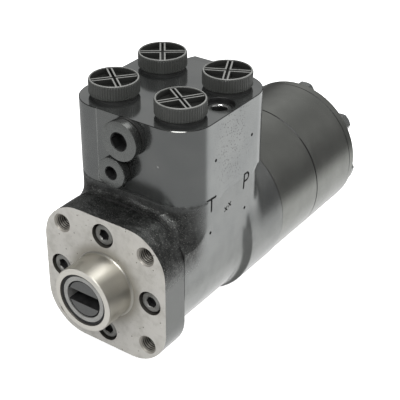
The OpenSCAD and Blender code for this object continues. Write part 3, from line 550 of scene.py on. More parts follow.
def bare_face():
    """Bare milled iron, dulled by handling, with painted shade round the boss."""
    s = Surface("bare_face", Metallic=0.45)
    blotch = s.ramp(s.noise(7, 4, 0.6), 0.42, 0.72)
    base = s.mix(blotch, (0.535, 0.522, 0.49), (0.44, 0.428, 0.395))
    stains = s.ramp(s.noise(2.2, 5, 0.7), 0.585, 0.68, 0.0, 0.7)
    base = s.mix(stains, base, (0.36, 0.345, 0.315))
    # Painted shade on the face round the boss's foot
    near = s.band(s.off_shaft(), BOSS_R + 9, BOSS_R + 1, 0.0, 0.8)
    base = s.mix(near, base, (0.25, 0.233, 0.193))
    s.colour(s.mix(s.specks(5.0, 0.11), base, (0.16, 0.15, 0.13)))
    s.roughness(s.uneven(2.5, 0.4, 0.52, 3))
    return s.bump((s.noise(0.6, 3), 0.02), (blotch, 0.03)).material


def bare_turned():
    """Bare turned iron of the boss: satin round its side, duller on its end, with a painted highlight at its
    foot.
    """
    s = Surface("bare_turned")
    y = s.axes()["Y"]
    lines = s.turned_lines(0.3, 0.0006)
    on_end = s.band(y, 0.5 - BOSS_LEN, 0.2 - BOSS_LEN)
    # A pale band at the boss's foot: a painted highlight
    foot_highlight = s.band(y, -BOSS_FOOT_R - 0.5, -BOSS_FOOT_R)
    s.feed(s.shader.inputs["Metallic"], s.mix_value(on_end, 0.95, 0.4))
    side = s.clouds(12, (0.54, 0.52, 0.46), (0.5, 0.48, 0.42), 0.4, 0.75)
    side = s.mix(foot_highlight, side, (0.66, 0.64, 0.58))
    s.colour(s.mix(on_end, side, (0.55, 0.535, 0.49)))
    s.roughness(s.mix_value(on_end, s.ramp(lines, 0.2, 0.8, 0.32, 0.38), 0.42))
    return s.bump((s.mix_value(on_end, lines, 0.5), 0.002)).material


def bored_steel():
    """Machined iron inside bores, painted dark as the shade in them."""
    s = Surface("bored_steel", Metallic=0.8)
    s.colour(s.mix(s.noise(2.0, 3), (0.1, 0.095, 0.085), (0.2, 0.19, 0.17)))
    s.roughness(s.uneven(0.8, 0.32, 0.5))
    return s.bump((s.noise(0.4, 2), 0.01)).material


def thread_steel():
    """Tapped iron of the column holes, with painted light on its cut threads: painted highlights on the crests
    and the bevel, and painted shade in the grooves.
    """
    s = Surface("thread_steel_look", Metallic=0.7)
    y = s.axes()["Y"]
    start = (COLUMN_BEVEL + COLUMN_MOUTH - 0.15 * THREAD_PITCH) * MM
    turns = s.times(s.math("SUBTRACT", y, start), 2 * math.pi / (THREAD_PITCH * MM))
    # Stripes along the thread: painted highlight on the crests, painted shade in the grooves, and a painted
    # highlight on the bevel
    crest = s.ramp(s.math("SINE", turns), -0.3, 0.6)
    bevel = s.band(y, COLUMN_BEVEL + 0.3, COLUMN_BEVEL)
    s.colour(s.mix(bevel, s.mix(crest, (0.07, 0.065, 0.058), (0.34, 0.325, 0.29)), (0.42, 0.4, 0.36)))
    s.roughness(s.uneven(0.8, 0.32, 0.48))
    return s.bump((s.noise(0.4, 2), 0.01)).material


def insert_steel():
    """Dark ground face of the drive insert, with painted shade round its rim."""
    s = Surface("insert_steel_look", Metallic=0.85)
    # Painted shade: a near-black ring round the insert's edge
    rim = s.band(s.off_shaft(), INSERT_R - 1.0, INSERT_R - 0.8)
    face = s.mix(s.noise(1.5, 3), (0.18, 0.183, 0.181), (0.225, 0.228, 0.224))
    s.colour(s.mix(rim, face, (0.015, 0.015, 0.015)))
    s.roughness(s.uneven(0.6, 0.28, 0.4))
    return s.bump((s.noise(0.5, 3), 0.003)).material


def steel(name, low, high, metallic, rough, grain=0.5, relief=0.006):
    """A plain finish between two colours, with a fine grain."""
    s = Surface(name, Metallic=metallic)
    s.colour(s.clouds(4, low, high, detail=3))
    s.roughness(s.uneven(grain, rough - 0.06, rough + 0.06))
    return s.bump((s.noise(grain, 3), relief)).material


def plug_steel():
    """Oiled black steel of the front plugs: satin on the face, with painted shade round the side."""
    s = Surface("plug_steel_look", Metallic=0.85)
    # Painted shade: the plug's side darker than its face
    side_shade = s.band(s.axes()["Y"], FACE_Y + 0.1, FACE_Y + 0.4)
    face = s.clouds(5, (0.225, 0.233, 0.227), (0.25, 0.258, 0.251), detail=3)
    s.colour(s.mix(side_shade, face, (0.075, 0.077, 0.075)))
    s.roughness(s.uneven(1.2, 0.25, 0.3))
    return s.bump((s.noise(0.8, 3), 0.001)).material


def cap_plastic(name, plastic, shine):
    """Black moulded plastic, lighter grey along its upward-facing top edges, as wear and a painted highlight.
    """
    s = Surface(name, Metallic=0.0, Specular_IOR_Level=shine)
    on_top = s.band(s.axes()["Z"], CAP_TOP - 0.75, CAP_TOP - 0.58)
    normal = s.node("SeparateXYZ", {"Vector": s.node("NewGeometry").outputs["Normal"]}).outputs
    # Upward-facing top edges lighter: wear and a painted highlight
    upper = s.times(on_top, s.ramp(normal["Z"], 0.45, 0.8))
    highlight_and_wear = s.times(upper, s.ramp(s.noise(1.6, 3), 0.25, 0.6, 0.75, 1.0))
    s.colour(s.mix(highlight_and_wear, plastic, (0.195, 0.197, 0.188)))
    s.roughness(s.uneven(0.9, 0.3, 0.4, 3))
    return s.bump((s.noise(0.5, 3), 0.008)).material


def rubber():
    """Matt black rubber."""
    s = Surface("rubber_look", Metallic=0.0)
    s.colour(s.mix(s.noise(2, 3), (0.012, 0.012, 0.012), (0.024, 0.024, 0.023)))
    s.roughness(s.uneven(0.8, 0.55, 0.7))
    return s.bump((s.noise(0.6, 3), 0.015)).material


# Plain steels: two colours, metallic, roughness, and for some the grain's size and relief
STEELS = {
    "black_steel": ((0.18, 0.187, 0.182), (0.215, 0.222, 0.216), 0.8, 0.27),
    "screw_steel": ((0.19, 0.19, 0.18), (0.3, 0.3, 0.285), 0.7, 0.36, 0.8, 0.01),
    "bright_steel": ((0.8, 0.8, 0.79), (0.88, 0.88, 0.87), 1.0, 0.2, 0.4, 0.002),
    "ground_steel": ((0.52, 0.52, 0.51), (0.62, 0.62, 0.61), 1.0, 0.22, 0.3, 0.002),
    "valve_steel": ((0.24, 0.24, 0.24), (0.31, 0.31, 0.305), 0.85, 0.32, 0.4, 0.003),
    "neck_steel": ((0.4, 0.4, 0.385), (0.48, 0.48, 0.46), 0.7, 0.32, 0.4, 0.003),
    "spring_steel": ((0.26, 0.27, 0.29), (0.36, 0.37, 0.39), 1.0, 0.28),
    "brass_cage": ((0.5, 0.36, 0.16), (0.6, 0.44, 0.21), 1.0, 0.3),
    "zinc_steel": ((0.5, 0.51, 0.5), (0.62, 0.63, 0.62), 0.9, 0.34, 1.2, 0.01),
    # Near black for sockets, slots and bores: painted shade
    "hollow_shade": ((0.012, 0.012, 0.012), (0.025, 0.025, 0.025), 0.3, 0.45),
    # Near black for stamped marks, holes and the seam's chamfer: painted shade
    "recess_shade": ((0.02, 0.02, 0.02), (0.035, 0.035, 0.035), 0.3, 0.5),
}
LOOKS = {name: steel(name + "_look", *values) for name, values in STEELS.items()}
LOOKS.update(
    machined_paint=machined_paint(), cast_paint=cast_paint(), ring_paint=ring_paint(),
    bare_face=bare_face(), bare_turned=bare_turned(), bored_steel=bored_steel(),
    thread_steel=thread_steel(), insert_steel=insert_steel(), plug_steel=plug_steel(), rubber=rubber(),
    cap_plastic=cap_plastic("cap_plastic_look", (0.04, 0.0415, 0.039), 0.5),
    # The same plastic darker inside the cap's recess: painted shade
    cap_pocket=cap_plastic("cap_pocket_look", (0.016, 0.0165, 0.0155), 0.2))
# Looks of slots and nodes that have none of their own name
SLOT_LOOKS = {"painted_casting": "machined_paint", "bare_flange": "bare_face"}
NODE_LOOKS = {"spool": "neck_steel"}


def dress_nodes():
    """Gives each CAD node the finish of its slot in the record."""
    for name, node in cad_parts.items():
        for place in node.material_slots:
            slot = place.material.name.split(".")[0]
            place.material = LOOKS[NODE_LOOKS.get(name) or SLOT_LOOKS.get(slot, slot)]


dress_nodes()


# Castings

def smooth_least(a, b, k):
    """Least of two distances, melted over a width of k."""
    h = np.clip(0.5 + 0.5 * (b - a) / k, 0, 1)
    return b * (1 - h) + a * h - k * h * (1 - h)


def plan_distance(x, y, half_x, half_y, r):
    """Distance to a rounded rectangle round the origin."""
    qx = np.abs(x) - (half_x - r)
    qy = np.abs(y) - (half_y - r)
    return np.hypot(np.maximum(qx, 0), np.maximum(qy, 0)) + np.minimum(np.maximum(qx, qy), 0) - r


def field_piece(name, distance, low, high, step):
    """The surface where a distance field is zero, as an even mesh."""
    axes = [np.arange(a, b + step, step, dtype=np.float32) for a, b in zip(low, high)]
    x, y, z = np.meshgrid(*axes, indexing="ij", sparse=True)
    values = np.broadcast_to(distance(x, y, z), [len(a) for a in axes])
    grid = openvdb.FloatGrid(3 * step)
    grid.copyFromArray(np.clip(values, -3 * step, 3 * step).astype(np.float32))
    points, quads = grid.convertToQuads(0.0)
    return mesh_piece(name, (points * step + np.array(low)).tolist(), quads.tolist())


def ease(value, low, high):
    """A smooth step from 0 at low to 1 at high."""
    t = min(max((value - low) / (high - low), 0.0), 1.0)
    return t * t * (3 - 2 * t)


def roughened(piece, *layers):
    """Pushes points in and out by layers of noise, as (size, height), most on the coarse skin."""
    moves = []
    for v in piece.data.vertices:
        coarse = ease(v.co.z / MM, *COARSE_LOW) * ease(v.co.y / MM, *COARSE_BACK)
        share = SMOOTH_SHARE + (1 - SMOOTH_SHARE) * coarse
        move = share * sum(height * noise.noise(v.co / (size * MM)) for size, height in layers)
        moves.append(v.normal * move * MM)
    for v, move in zip(piece.data.vertices, moves):
        v.co += move
    piece.data.update()
    return piece


# The cast skin lies this far inside the milled head at the front and the sides
SKIN = 0.2
SIDE_SKIN = 0.06
HEAD_Z = TOP_Z - HEAD_H
LEDGE_Z = HEAD_Z - HEAD_STEP
BACK_Y = WALL_Y + BLOCK_LEN
# The casting's half width, its flare from there to the barrel, and how much wider its sides get
CAST_HALF = HALF_W - SIDE_SKIN
FLARE_Y = 71.0
FLARE_LEN = 9.0
SIDE_FLARE = 4.0
# The neck's trimming radius and length, the cast block's end below the head, and the forms' melting width
NECK_TRIM_R = 49.0
NECK_LEN = 20.0
CAST_DROP = 1.2
MELT = 5.0
# Corners and step of the grid that carries the casting's skin
GRID_LOW = (-48, FLANGE_T - 2, -49)
GRID_HIGH = (48, RINGS_Y + 3, HEAD_Z + 2)
GRID_STEP = 1.0
# Relief of the skins, as (size, height)
HOUSING_RELIEF = [(4.5, 0.1), (1.6, 0.06)]
FLANGE_RELIEF = [(3.5, 0.16), (1.3, 0.16)]


def cast_distance(x, y, z):
    """Belly, neck and lower block, melted together as the casting is."""
    radius = np.hypot(x, z)
    flare = np.clip((y - FLARE_Y) / FLARE_LEN, 0, 1) ** 3
    belly = radius - (CAST_HALF + (BARREL_R - CAST_HALF) * flare)
    back = BACK_Y - HEAD_STEP
    block = plan_distance(x, y - (WALL_Y + back) / 2, CAST_HALF, (back - WALL_Y) / 2, BLOCK_CORNER_R)
    block = np.maximum(block, np.maximum(-z, z - HEAD_Z + CAST_DROP))
    neck = np.maximum(np.maximum(np.abs(x), z) - CAST_HALF, np.maximum(-z, y - WALL_Y - NECK_LEN))
    neck = np.maximum(neck, radius - NECK_TRIM_R)
    whole = smooth_least(smooth_least(block, neck, MELT), belly, MELT)
    side = np.maximum(whole, np.abs(x) - CAST_HALF - SIDE_FLARE * flare)
    return np.where(z < 0, belly, side)


def head_outline(front, back, inset):
    """Plan of the head: a rounded rectangle from a front to a back, drawn in by an inset."""
    half, r = HALF_W - inset, BLOCK_CORNER_R - inset
    y0, y1 = front + inset, back - inset
    return (arc(half - r, y0 + r, r, -90, 0, 24) + arc(half - r, y1 - r, r, 0, 90, 24)
            + arc(-half + r, y1 - r, r, 90, 180, 24) + arc(-half + r, y0 + r, r, 180, 270, 24))


def head_block():
    """The milled head, with its ledge at the back and a broken top edge."""
    front = WALL_Y - SKIN
    deep = BACK_Y - HEAD_STEP
    return loft("head", [
        (LEDGE_Z - 1.0, head_outline(front, deep, 1.0)),
        (LEDGE_Z, head_outline(front + 0.6, deep - 0.1, SIDE_SKIN)),
        (HEAD_Z - 0.1, head_outline(front + 0.6, BACK_Y - 0.4, SIDE_SKIN)),
        (HEAD_Z, head_outline(front, BACK_Y, 0.0)),
        (TOP_Z - TOP_BEVEL, head_outline(front, BACK_Y, 0.0)),
        (TOP_Z, head_outline(front, BACK_Y, TOP_BEVEL)),
    ])


def pad_block():
    """The sloped pad on the back of the head."""
    def outline(inset):
        half = PAD_W / 2 - inset
        wide = half + PAD_SLOPE
        root, tip = BACK_Y - BLOCK_CORNER_R, BACK_Y + PAD_OUT - inset
        return [(-wide, root), (wide, root), (wide, BACK_Y), (half, tip), (-half, tip), (-wide, BACK_Y)]
    top = TOP_Z - 0.03
    return loft("pad", [(PAD_Z, outline(0.0)), (top - 0.5, outline(0.0)), (top, outline(0.5))])


def cap_centres():
    """Centres of the caps, in the order of CAP_NODES."""
    return [middle(node) for node in CAP_NODES]


def groove_ys():
    """Middles of the ring grooves T, L, P and R along the shaft."""
    front, rear = cap_centres()[0].y, cap_centres()[2].y
    return [place + offset for place, offset in zip((front, front, rear, rear), GROOVE_OFFSETS)]


def o_ring_groove(r, y, steps=FINE):
    """Cutter of an O-ring's groove in a face that looks backwards."""
    low, high, floor_y = r - O_GROOVE[0] / 2, r + O_GROOVE[0] / 2, y - O_GROOVE[1]
    return lathe("cut", [(low, floor_y), (high, floor_y), (high, y + 1), (low, y + 1)], along_y(), steps)


def bore_tools():
    """Cutters of the main bore, its grooves, the plate's seat, and the screw and bolt holes."""
    tools = [rod("cut", BORE_R, FLANGE_T - 1, RINGS_Y + 1, along_y()),
             rod("cut", PLATE_POCKET_R, RINGS_Y - PLATE_T, RINGS_Y + 1, along_y()),
             o_ring_groove(PLATE_O_RING_R, RINGS_Y)]
    tools += [rod("cut", GROOVE_R, y - GROOVE_W / 2, y + GROOVE_W / 2, along_y()) for y in groove_ys()]
    r = SCREW_R + HOLE_GAP
    tools += [rod("cut", r, FLANGE_T - 1, FLANGE_T + SCREW_HOLE_DEPTH, round_shaft(SCREW_PCD_R, 90 * i), COARSE)
              for i in range(4)]
    tools += [rod("cut", r, RINGS_Y - COVER_HOLE_DEPTH, RINGS_Y + 1,
                  round_shaft(COVER_PCD_R, COVER_BOLT_ANGLE + 360 * i / TEETH), COARSE) for i in range(TEETH)]
    return tools


def port_tools():
    """Cutters of the four tapped ports, the drillings below them and the check valve's pocket."""
    left_front, right_front, left_rear, right_rear = centres = cap_centres()
    profile = thread_profile(PORT_R, PORT_DEPTH, THREAD_PITCH, 1.0, PORT_BEVEL)[:-2]
    profile += [(PORT_R - 0.6, PORT_DEPTH), (0, PORT_DEPTH)]
    tools = [lathe("cut", profile, downward(centre.x, centre.y, TOP_Z), 96) for centre in centres]
    floor_z = TOP_Z - PORT_DEPTH
    for centre, y in zip((right_front, left_front, right_rear, left_rear), groove_ys()):
        tools.append(rod("cut", GALLERY_R, GALLERY_LOW, floor_z + 1, along_z(centre.x, y), COARSE))
    pocket_r, pocket_depth = CHECK_POCKET
    tools.append(rod("cut", pocket_r, floor_z - pocket_depth, floor_z + 1,
                     along_z(right_rear.x, right_rear.y), COARSE))
    return tools


# Bores behind the front plugs, as (radius, end) steps for thread, guide and seat, and under the top plug
PLUG_BORES = {
    "large_plug": [(8.0, 13), (6.0, 44.0), (3.6, 56.8)],
    "small_plug": [(6.0, 13), (4.6, 30.0), (2.8, 36.0)],
}
TOP_BORE = [(8.4, 2.6), (7.0, 12.6), (5.0, 36.0), (2.4, 43.0)]


def valve_tools():
    """Cutters behind the front plugs and under the top plug."""
    tools = []
    for node, steps in PLUG_BORES.items():
        centre, mouth_r = middle(node), steps[0][0] + 0.4
        profile = stepped(0.5, steps, [(mouth_r, -1), (mouth_r, 0.1)])
        tools.append(lathe("cut", profile, along_y(centre.x, WALL_Y, centre.z), COARSE))
    top = middle("top_plug")
    profile = stepped(0.35, TOP_BORE, [(TOP_BORE[0][0] + 1.4, -1)])
    tools.append(lathe("cut", profile, downward(top.x, top.y, TOP_Z), 64))
    return tools


def stroke(y0, z0, y1, z1, wide, deep):
    """Cutter of one stroke in the right wall, with round ends."""
    run = math.degrees(math.atan2(z1 - z0, y1 - y0))

    def outline(r):
        return arc(y1, z1, r, run - 90, run + 90, 8) + arc(y0, z0, r, run + 90, run + 270, 8)
    return loft("cut", [(d, outline(wide * share)) for d, share in ((-deep, 0.3), (0.0, 0.5), (1.0, 0.5))],
                along_x(HALF_W))


# Marks in the right wall: strokes as (y0, z0, y1, z1), a bowl as (y, z, radius), places as (y, z)
MARK_T = [(38.8, 49.0, 46.4, 48.6), (42.5, 49.0, 42.3, 41.2)]
MARK_P_STEM = (74.9, 49.2, 74.2, 40.6)
MARK_P_BOWL = (77.0, 47.0, 2.3)
RIVETS = [(81.3, 71.7), (46.0, 71.0), (75.8, 27.0), (41.6, 27.6)]
CROSSES = [(56.6, 35.6), (60.3, 36.9)]
CROSS_HALF = 1.15
# Width and depth of their strokes, and radius and depth of the rivet holes
MARK_CUT = (1.5, 0.7)
BOWL_CUT = (1.4, 0.65)
CROSS_CUT = (0.9, 0.55)
RIVET_CUT = (1.0, 3.0)
# Places of a dent and a bright nick in the front wall, as (x, z)
DENT = (-2.0, 51.6)
NICK = (21.6, 71.2)


def mark_tools():
    """Cutters of the port marks, the rivet holes, two stamped crosses and a dent."""
    tools = [stroke(*line, *MARK_CUT) for line in MARK_T + [MARK_P_STEM]]
    cy, cz, r = MARK_P_BOWL
    bowl = [MARK_P_STEM[:2], *arc(cy, cz, r, 85, -85, 6), (MARK_P_STEM[0], cz - r)]
    tools += [stroke(*a, *b, *BOWL_CUT) for a, b in zip(bowl, bowl[1:])]
    tools += [rod("cut", RIVET_CUT[0], -RIVET_CUT[1], 1.0, along_x(HALF_W, y, z), 24) for y, z in RIVETS]
    for y, z in CROSSES:
        for lean in (-CROSS_HALF, CROSS_HALF):
            tools.append(stroke(y - CROSS_HALF, z - lean, y + CROSS_HALF, z + lean, *CROSS_CUT))
    tools.append(rod("cut", 0.55, -0.6, 1.0, along_y(DENT[0], WALL_Y, DENT[1]), 12))
    return tools


def nick_tools():
    """Cutter of the bright nick in the front wall."""
    nick = Matrix.Translation((NICK[0], WALL_Y - SKIN, NICK[1]))
    return [lathe("cut", [(0, -0.6), (1.1, 0), (0, 0.6)], nick @ Matrix.Rotation(0.5, 4, "Y"), 12)]


def housing():
    """The housing: a casting with a milled head, seats and bores."""
    body = field_piece("housing_casting", cast_distance, GRID_LOW, GRID_HIGH, GRID_STEP)
    dressed(roughened(body, *HOUSING_RELIEF), "cast_paint")
    joined(body, *[dressed(block, "machined_paint") for block in (head_block(), pad_block())])
    far = 120
    envelope = lathe("envelope", [
        (0, FLANGE_T), (far, FLANGE_T), (far, RINGS_Y - 3), (BARREL_R + 1, RINGS_Y - 3),
        (BARREL_R + 1, RINGS_Y - 1 - SEAM_CHAMFER), (BARREL_R - SEAM_CHAMFER, RINGS_Y), (0, RINGS_Y)],
        along_y())
    # The envelope's faces, among them the chamfer at the seam to the rings, are painted near black as shade
    finished(body, [dressed(envelope, "recess_shade")], "INTERSECT")
    zone = box("zone", (MILLED_X[0], WALL_Y - 4, HEAD_Z + 0.2), (MILLED_X[1], WALL_Y, TOP_Z + 1))
    carved(body, dressed(zone, "machined_paint"))
    # Bores and ports are dark steel, painted shade; plug bores and the top recess near black, painted shade;
    # marks, holes and the dent near black, painted shade in recesses
    for tools, look in ((bore_tools(), "bored_steel"), (port_tools(), "bored_steel"),
                        (valve_tools(), "hollow_shade"), (mark_tools(), "recess_shade"),
                        (nick_tools(), "bright_steel")):
        carved(body, cutter(look, tools))
    return ready(body, "body", "painted_casting", "housing", "port_block", angle=30)


def flange_outline(inset):
    """Square flange trimmed by a circle, with soft junctions and a point every 0.8 mm."""
    half, trim, soft = HALF_W - inset, TRIM_R - inset, TRIM_SOFT_R
    near = math.sqrt((trim - soft) ** 2 - (half - soft) ** 2)
    lean = math.degrees(math.atan2(near, half - soft))
    n_soft, n_trim, n_flat = 7, 24, 36
    quarter = [(half, near * i / n_flat) for i in range(n_flat)]
    quarter += arc(half - soft, near, soft, 0, lean, n_soft)[:-1]
    quarter += arc(0, 0, trim, lean, 90 - lean, n_trim)[:-1]
    quarter += arc(near, half - soft, soft, 90 - lean, 90, n_soft)[:-1]
    quarter += [(near * (1 - i / n_flat), half) for i in range(n_flat)]
    return [(x * math.cos(t) - y * math.sin(t), x * math.sin(t) + y * math.cos(t))
            for t in (math.radians(90 * k) for k in range(4)) for x, y in quarter]


# How far the flange's rim is drawn in for its relief, and the round of its back edge
RIM_INSET = 0.15
RIM_BACK_R = 0.3


def flange_plate():
    """The flange's plate: cast rim between its milled faces."""
    outline, r = flange_outline(RIM_INSET), RIM_BACK_R
    layers = [(d, outline) for d in (-1.0, -0.2, *(0.8 * k for k in range(1, 20)))]
    for angle in (30, 60, 90):
        out, up = polar(r, angle)
        layers.append((FLANGE_T - r + up, flange_outline(RIM_INSET + r - out)))
    plate = loft("front_flange_casting", layers, along_y())
    plate.data.validate()
    dressed(roughened(plate, *FLANGE_RELIEF), "cast_paint")
    face = box("face", (-60, -5, -60), (60, 0, 60))
    seat = box("seat", (-60, FLANGE_T, -60), (60, FLANGE_T + 5, 60))
    return carved(plate, dressed(face, "bare_face"), dressed(seat, "bored_steel"))


def flange_boss():
    """The turned boss, with a fillet at its foot and a rounded edge."""
    foot, edge = BOSS_FOOT_R, BOSS_EDGE_R
    profile = [(0, 2), (BOSS_R + foot, 2), (BOSS_R + foot, 0)]
    profile += arc(BOSS_R + foot, -foot, foot, 110, 170, 3)
    profile += [(BOSS_R + 0.08, -foot - 0.1), (BOSS_R, -foot - 0.25)]
    for angle in (0, 22, 45, 68, 90):
        out, up = polar(edge, angle)
        profile.append((BOSS_R - edge + out, edge - BOSS_LEN - up))
    profile.append((0, -BOSS_LEN))
    return dressed(lathe("boss", profile, along_y(), 192), "bare_turned")


# The flange's bore from the boss's end: dust seal, neck, shaft seal and bearing, as (radius, end) steps
FLANGE_BORE = [(15.6, 5.05 - BOSS_LEN), (14.4, 4.1), (18.6, 12.45), (21.0, FLANGE_T + 1)]


def front_flange():
    """The column flange with its boss, bores and holes."""
    plate = joined(flange_plate(), flange_boss())
    mouth = [(FLANGE_BORE[0][0] + 0.8, -BOSS_LEN - 1)]
    tools = [lathe("cut", stepped(0.4 - BOSS_LEN, FLANGE_BORE, mouth), along_y(), 128),
             o_ring_groove(FLANGE_O_RING_R, FLANGE_T, 128)]
    screw_bore = stepped(-3, [(SCREW_BORE_R, SCREW_FLOOR), (SCREW_R + 0.3, FLANGE_T + 1)])
    thread = thread_profile(COLUMN_R, COLUMN_DEPTH, THREAD_PITCH, COLUMN_MOUTH, COLUMN_BEVEL)
    threads = []
    for k in range(4):
        tools.append(lathe("cut", screw_bore, round_shaft(SCREW_PCD_R, 90 * k), 64))
        threads.append(lathe("cut", thread, round_shaft(COLUMN_PCD_R, 90 * k + 45), 64))
    # The bore and screw counterbores are dark, painted shade; the tapped holes carry painted highlights and
    # shade on their threads
    carved(plate, cutter("bored_steel", tools), cutter("thread_steel", threads))
    return ready(plate, "body", "bare_flange", "front_flange", angle=30)


def hex_socket(across, depth, place, bevel, rim_look="hollow_shade"):
    """Cutter of a hexagon socket painted near black as shade, with a bevelled mouth."""
    r = across / math.sqrt(3)
    outline = arc(0, 0, r, 0, 300, 5)
    socket = loft("cut", [(-1.0, outline), (depth, outline)], place)
    cone = lathe("cut", [
        (0, -1.0), (r + bevel + 1, -1.0), (r - 0.3, bevel + 0.3), (0, bevel + 0.3)], place, COARSE)
    return joined(dressed(socket, "hollow_shade"), dressed(cone, rim_look))


def flange_screws():
    """Four socket head screws sunk in the flange face, each turned its own way."""
    screws = []
    front = span("flange_screws")[0].y
    r, under = SCREW_HEAD_R, SCREW_FLOOR - 0.05
    for k in range(4):
        place = round_shaft(SCREW_PCD_R, 90 * k, 17 * k)
        screw = lathe("screw", [
            (0, front), (r - 1.0, front), (r - 0.35, front + 0.25), (r, front + 0.9), (r, under),
            (SCREW_R, under), (SCREW_R, FLANGE_T + 11.2), (SCREW_R - 0.8, FLANGE_T + 12),
            (0, FLANGE_T + 12)], place, 64)
        dressed(screw, "screw_steel")
        carved(screw, hex_socket(6.0, 3.8, place @ along_z(z=front), 0.3, "screw_steel"))
        screws.append(screw)
    return ready(joined(*screws), "body", "black_steel", "flange_screws")


# Thickness of a front plug's washer, and width of the groove at its foot
PLUG_WASHER = 1.2
PLUG_GROOVE = 0.8


def collar_plug(name, node, key):
    """A front plug: turned collar with a groove at its foot, and a hexagon socket for a key."""
    low, high = span(node)
    centre = (low + high) / 2
    r = (high.x - low.x) / 2
    out = WALL_Y - low.y
    thread_r = PLUG_BORES[node][0][0] - HOLE_GAP
    foot = -PLUG_WASHER - PLUG_GROOVE
    place = along_y(centre.x, WALL_Y, centre.z)
    plug = lathe(name, [
        (0, -out), (r - 0.55, -out), (r - 0.15, -out + 0.1), (r, -out + 0.4), (r, foot - 0.5),
        (r - 0.9, foot), (r - 0.9, -PLUG_WASHER), (thread_r, -PLUG_WASHER), (thread_r, 11.4),
        (thread_r - 0.6, 12), (0, 12)], place, 128)
    dressed(plug, "plug_steel")
    carved(plug, hex_socket(key, key * 0.75, place @ along_z(z=-out), 0.12))
    return ready(plug, "body", "black_steel", node)


def top_plug():
    """The hexagon plug sunk in the top face."""
    centre = middle("top_plug")
    down = downward(centre.x, centre.y, span("top_plug")[1].z)
    plug = lathe("top_valve_plug", [(0, 0), (6.3, 0), (6.95, 0.6), (6.95, 9.5), (6.4, 10), (0, 10)], down, 96)
    dressed(plug, "black_steel")
    # The socket's bevel in bright steel is a painted glint on the black plug
    carved(plug, hex_socket(8.0, 6.0, down, 0.3, "bright_steel"))
    return ready(plug, "body", "zinc_steel", "top_plug")


# Caps: their turns in degrees, ribs and gap over the top face, and the sizes of the recess and its cross
CAP_TURNS = dict(zip(CAP_NODES, (51, 56, 37, 27)))
CAP_R = 13.95
CAP_RIBS = 60
CAP_RIB = 0.32
CAP_GAP = 1.55
CAP_RECESS_R = CAP_R - 1.05
CAP_POCKET = 3.6
CAP_SLOT = 3.0
CAP_SLOT_HALF = 0.7
CAP_CROSS_HALF = 1.8
CAP_SHANK_R = 10.1


def cap_outline(r, rib):
    """Outline of a cap's head, with even ribs of a height."""
    return [polar(r + out, 360 * (i + share) / CAP_RIBS) for i in range(CAP_RIBS)
            for share, out in ((0.0, 0), (0.18, rib), (0.5, rib), (0.68, 0))]


def corner_outline(r, edge, grow):
    """One quarter of a disc beyond a cross of half width edge, grown by an amount."""
    r, edge = r + grow, edge - grow
    lean = math.degrees(math.asin(edge / r))
    return [(edge, edge)] + arc(0, 0, r, lean, 90 - lean, 14)


def port_cap(node):
    """A ribbed plastic cap whose recessed top holds a cross of twin ribs."""
    low, high = span(node)
    centre = (low + high) / 2
    foot = TOP_Z + CAP_GAP
    height = high.z - foot
    place = along_z(centre.x, centre.y, foot, CAP_TURNS[node])
    head = loft(node + "_shell", [(d, cap_outline(CAP_R - inset, rib)) for d, inset, rib in (
        (0, 0.5, 0.0), (0.4, 0.0, 0.0), (0.7, 0.0, CAP_RIB), (height - 1.1, 0.0, CAP_RIB),
        (height - 0.7, 0.0, 0.05), (height - 0.35, 0.0, 0.0), (height - 0.08, 0.22, 0.0),
        (height, 0.5, 0.0))], place)
    joined(head, lathe("shank", thread_shank(CAP_SHANK_R, low.z - foot, 1.0), place, 96))
    r = CAP_RECESS_R
    tools = [lathe("cut", [
        (0, height - 0.5), (r - 0.1, height - 0.5), (r + 0.35, height + 0.1), (r + 0.35, height + 1),
        (0, height + 1)], place, 96)]
    for k in range(4):
        tools.append(loft("cut", [
            (height - deep, corner_outline(r - inset, CAP_CROSS_HALF, wider))
            for deep, inset, wider in ((CAP_POCKET, 0.15, 0.0), (0.75, 0.1, 0.0), (0.35, 0.05, 0.16))],
            place @ along_z(turn=90 * k)))
    for k in range(2):
        tools.append(loft("cut", [
            (height - deep, strip(r - 0.15, CAP_SLOT_HALF + wider))
            for deep, wider in ((CAP_SLOT, 0.0), (0.75, 0.0), (0.35, 0.16))], place @ along_z(turn=90 * k)))
    dressed(head, "cap_plastic")
    # The recess and its pockets take the darker plastic, painted shade
    carved(head, cutter("cap_pocket", tools))
    return ready(head, node, "cap_plastic", node, angle=28)


def thread_shank(r, low, high):
    """Profile of a cap's shank with a coarse moulded thread."""
    points = [(0, high), (r - 0.8, high), (r - 0.8, -0.3)]
    d = -0.8
    while d - 1.5 > low + 0.3:
        points += [(r - 0.8, d), (r, d - 0.5), (r, d - 0.75), (r - 0.8, d - 1.25)]
        d -= 1.5
    return points + [(r - 0.8, low + 0.5), (r - 1.3, low), (0, low)]


# The drive slot's half width and depth, and its broken edge
SLOT_HALF = 3.65
SLOT_DEPTH = 14.0
SLOT_LIP = 0.25


def drive_insert():
    """The slotted insert in the spool's end, with broken edges."""
    low, high = span("drive_insert")
    r, far = INSERT_R, INSERT_R + 1
    insert = lathe("slotted_insert", [
        (0, low.y), (r - 0.35, low.y), (r, low.y + 0.35), (r, high.y), (0, high.y)], along_y(), 128)
    dressed(insert, "insert_steel")
    slot = loft("cut", [(low.y + d, strip(far, SLOT_HALF + wider)) for d, wider in (
        (-1, SLOT_LIP + 1), (0, SLOT_LIP), (SLOT_LIP, 0), (SLOT_DEPTH, 0))], along_y())
    # The drive slot is painted near black as shade
    carved(insert, dressed(slot, "hollow_shade"))
    return ready(insert, "spool", "valve_steel", "drive_insert")


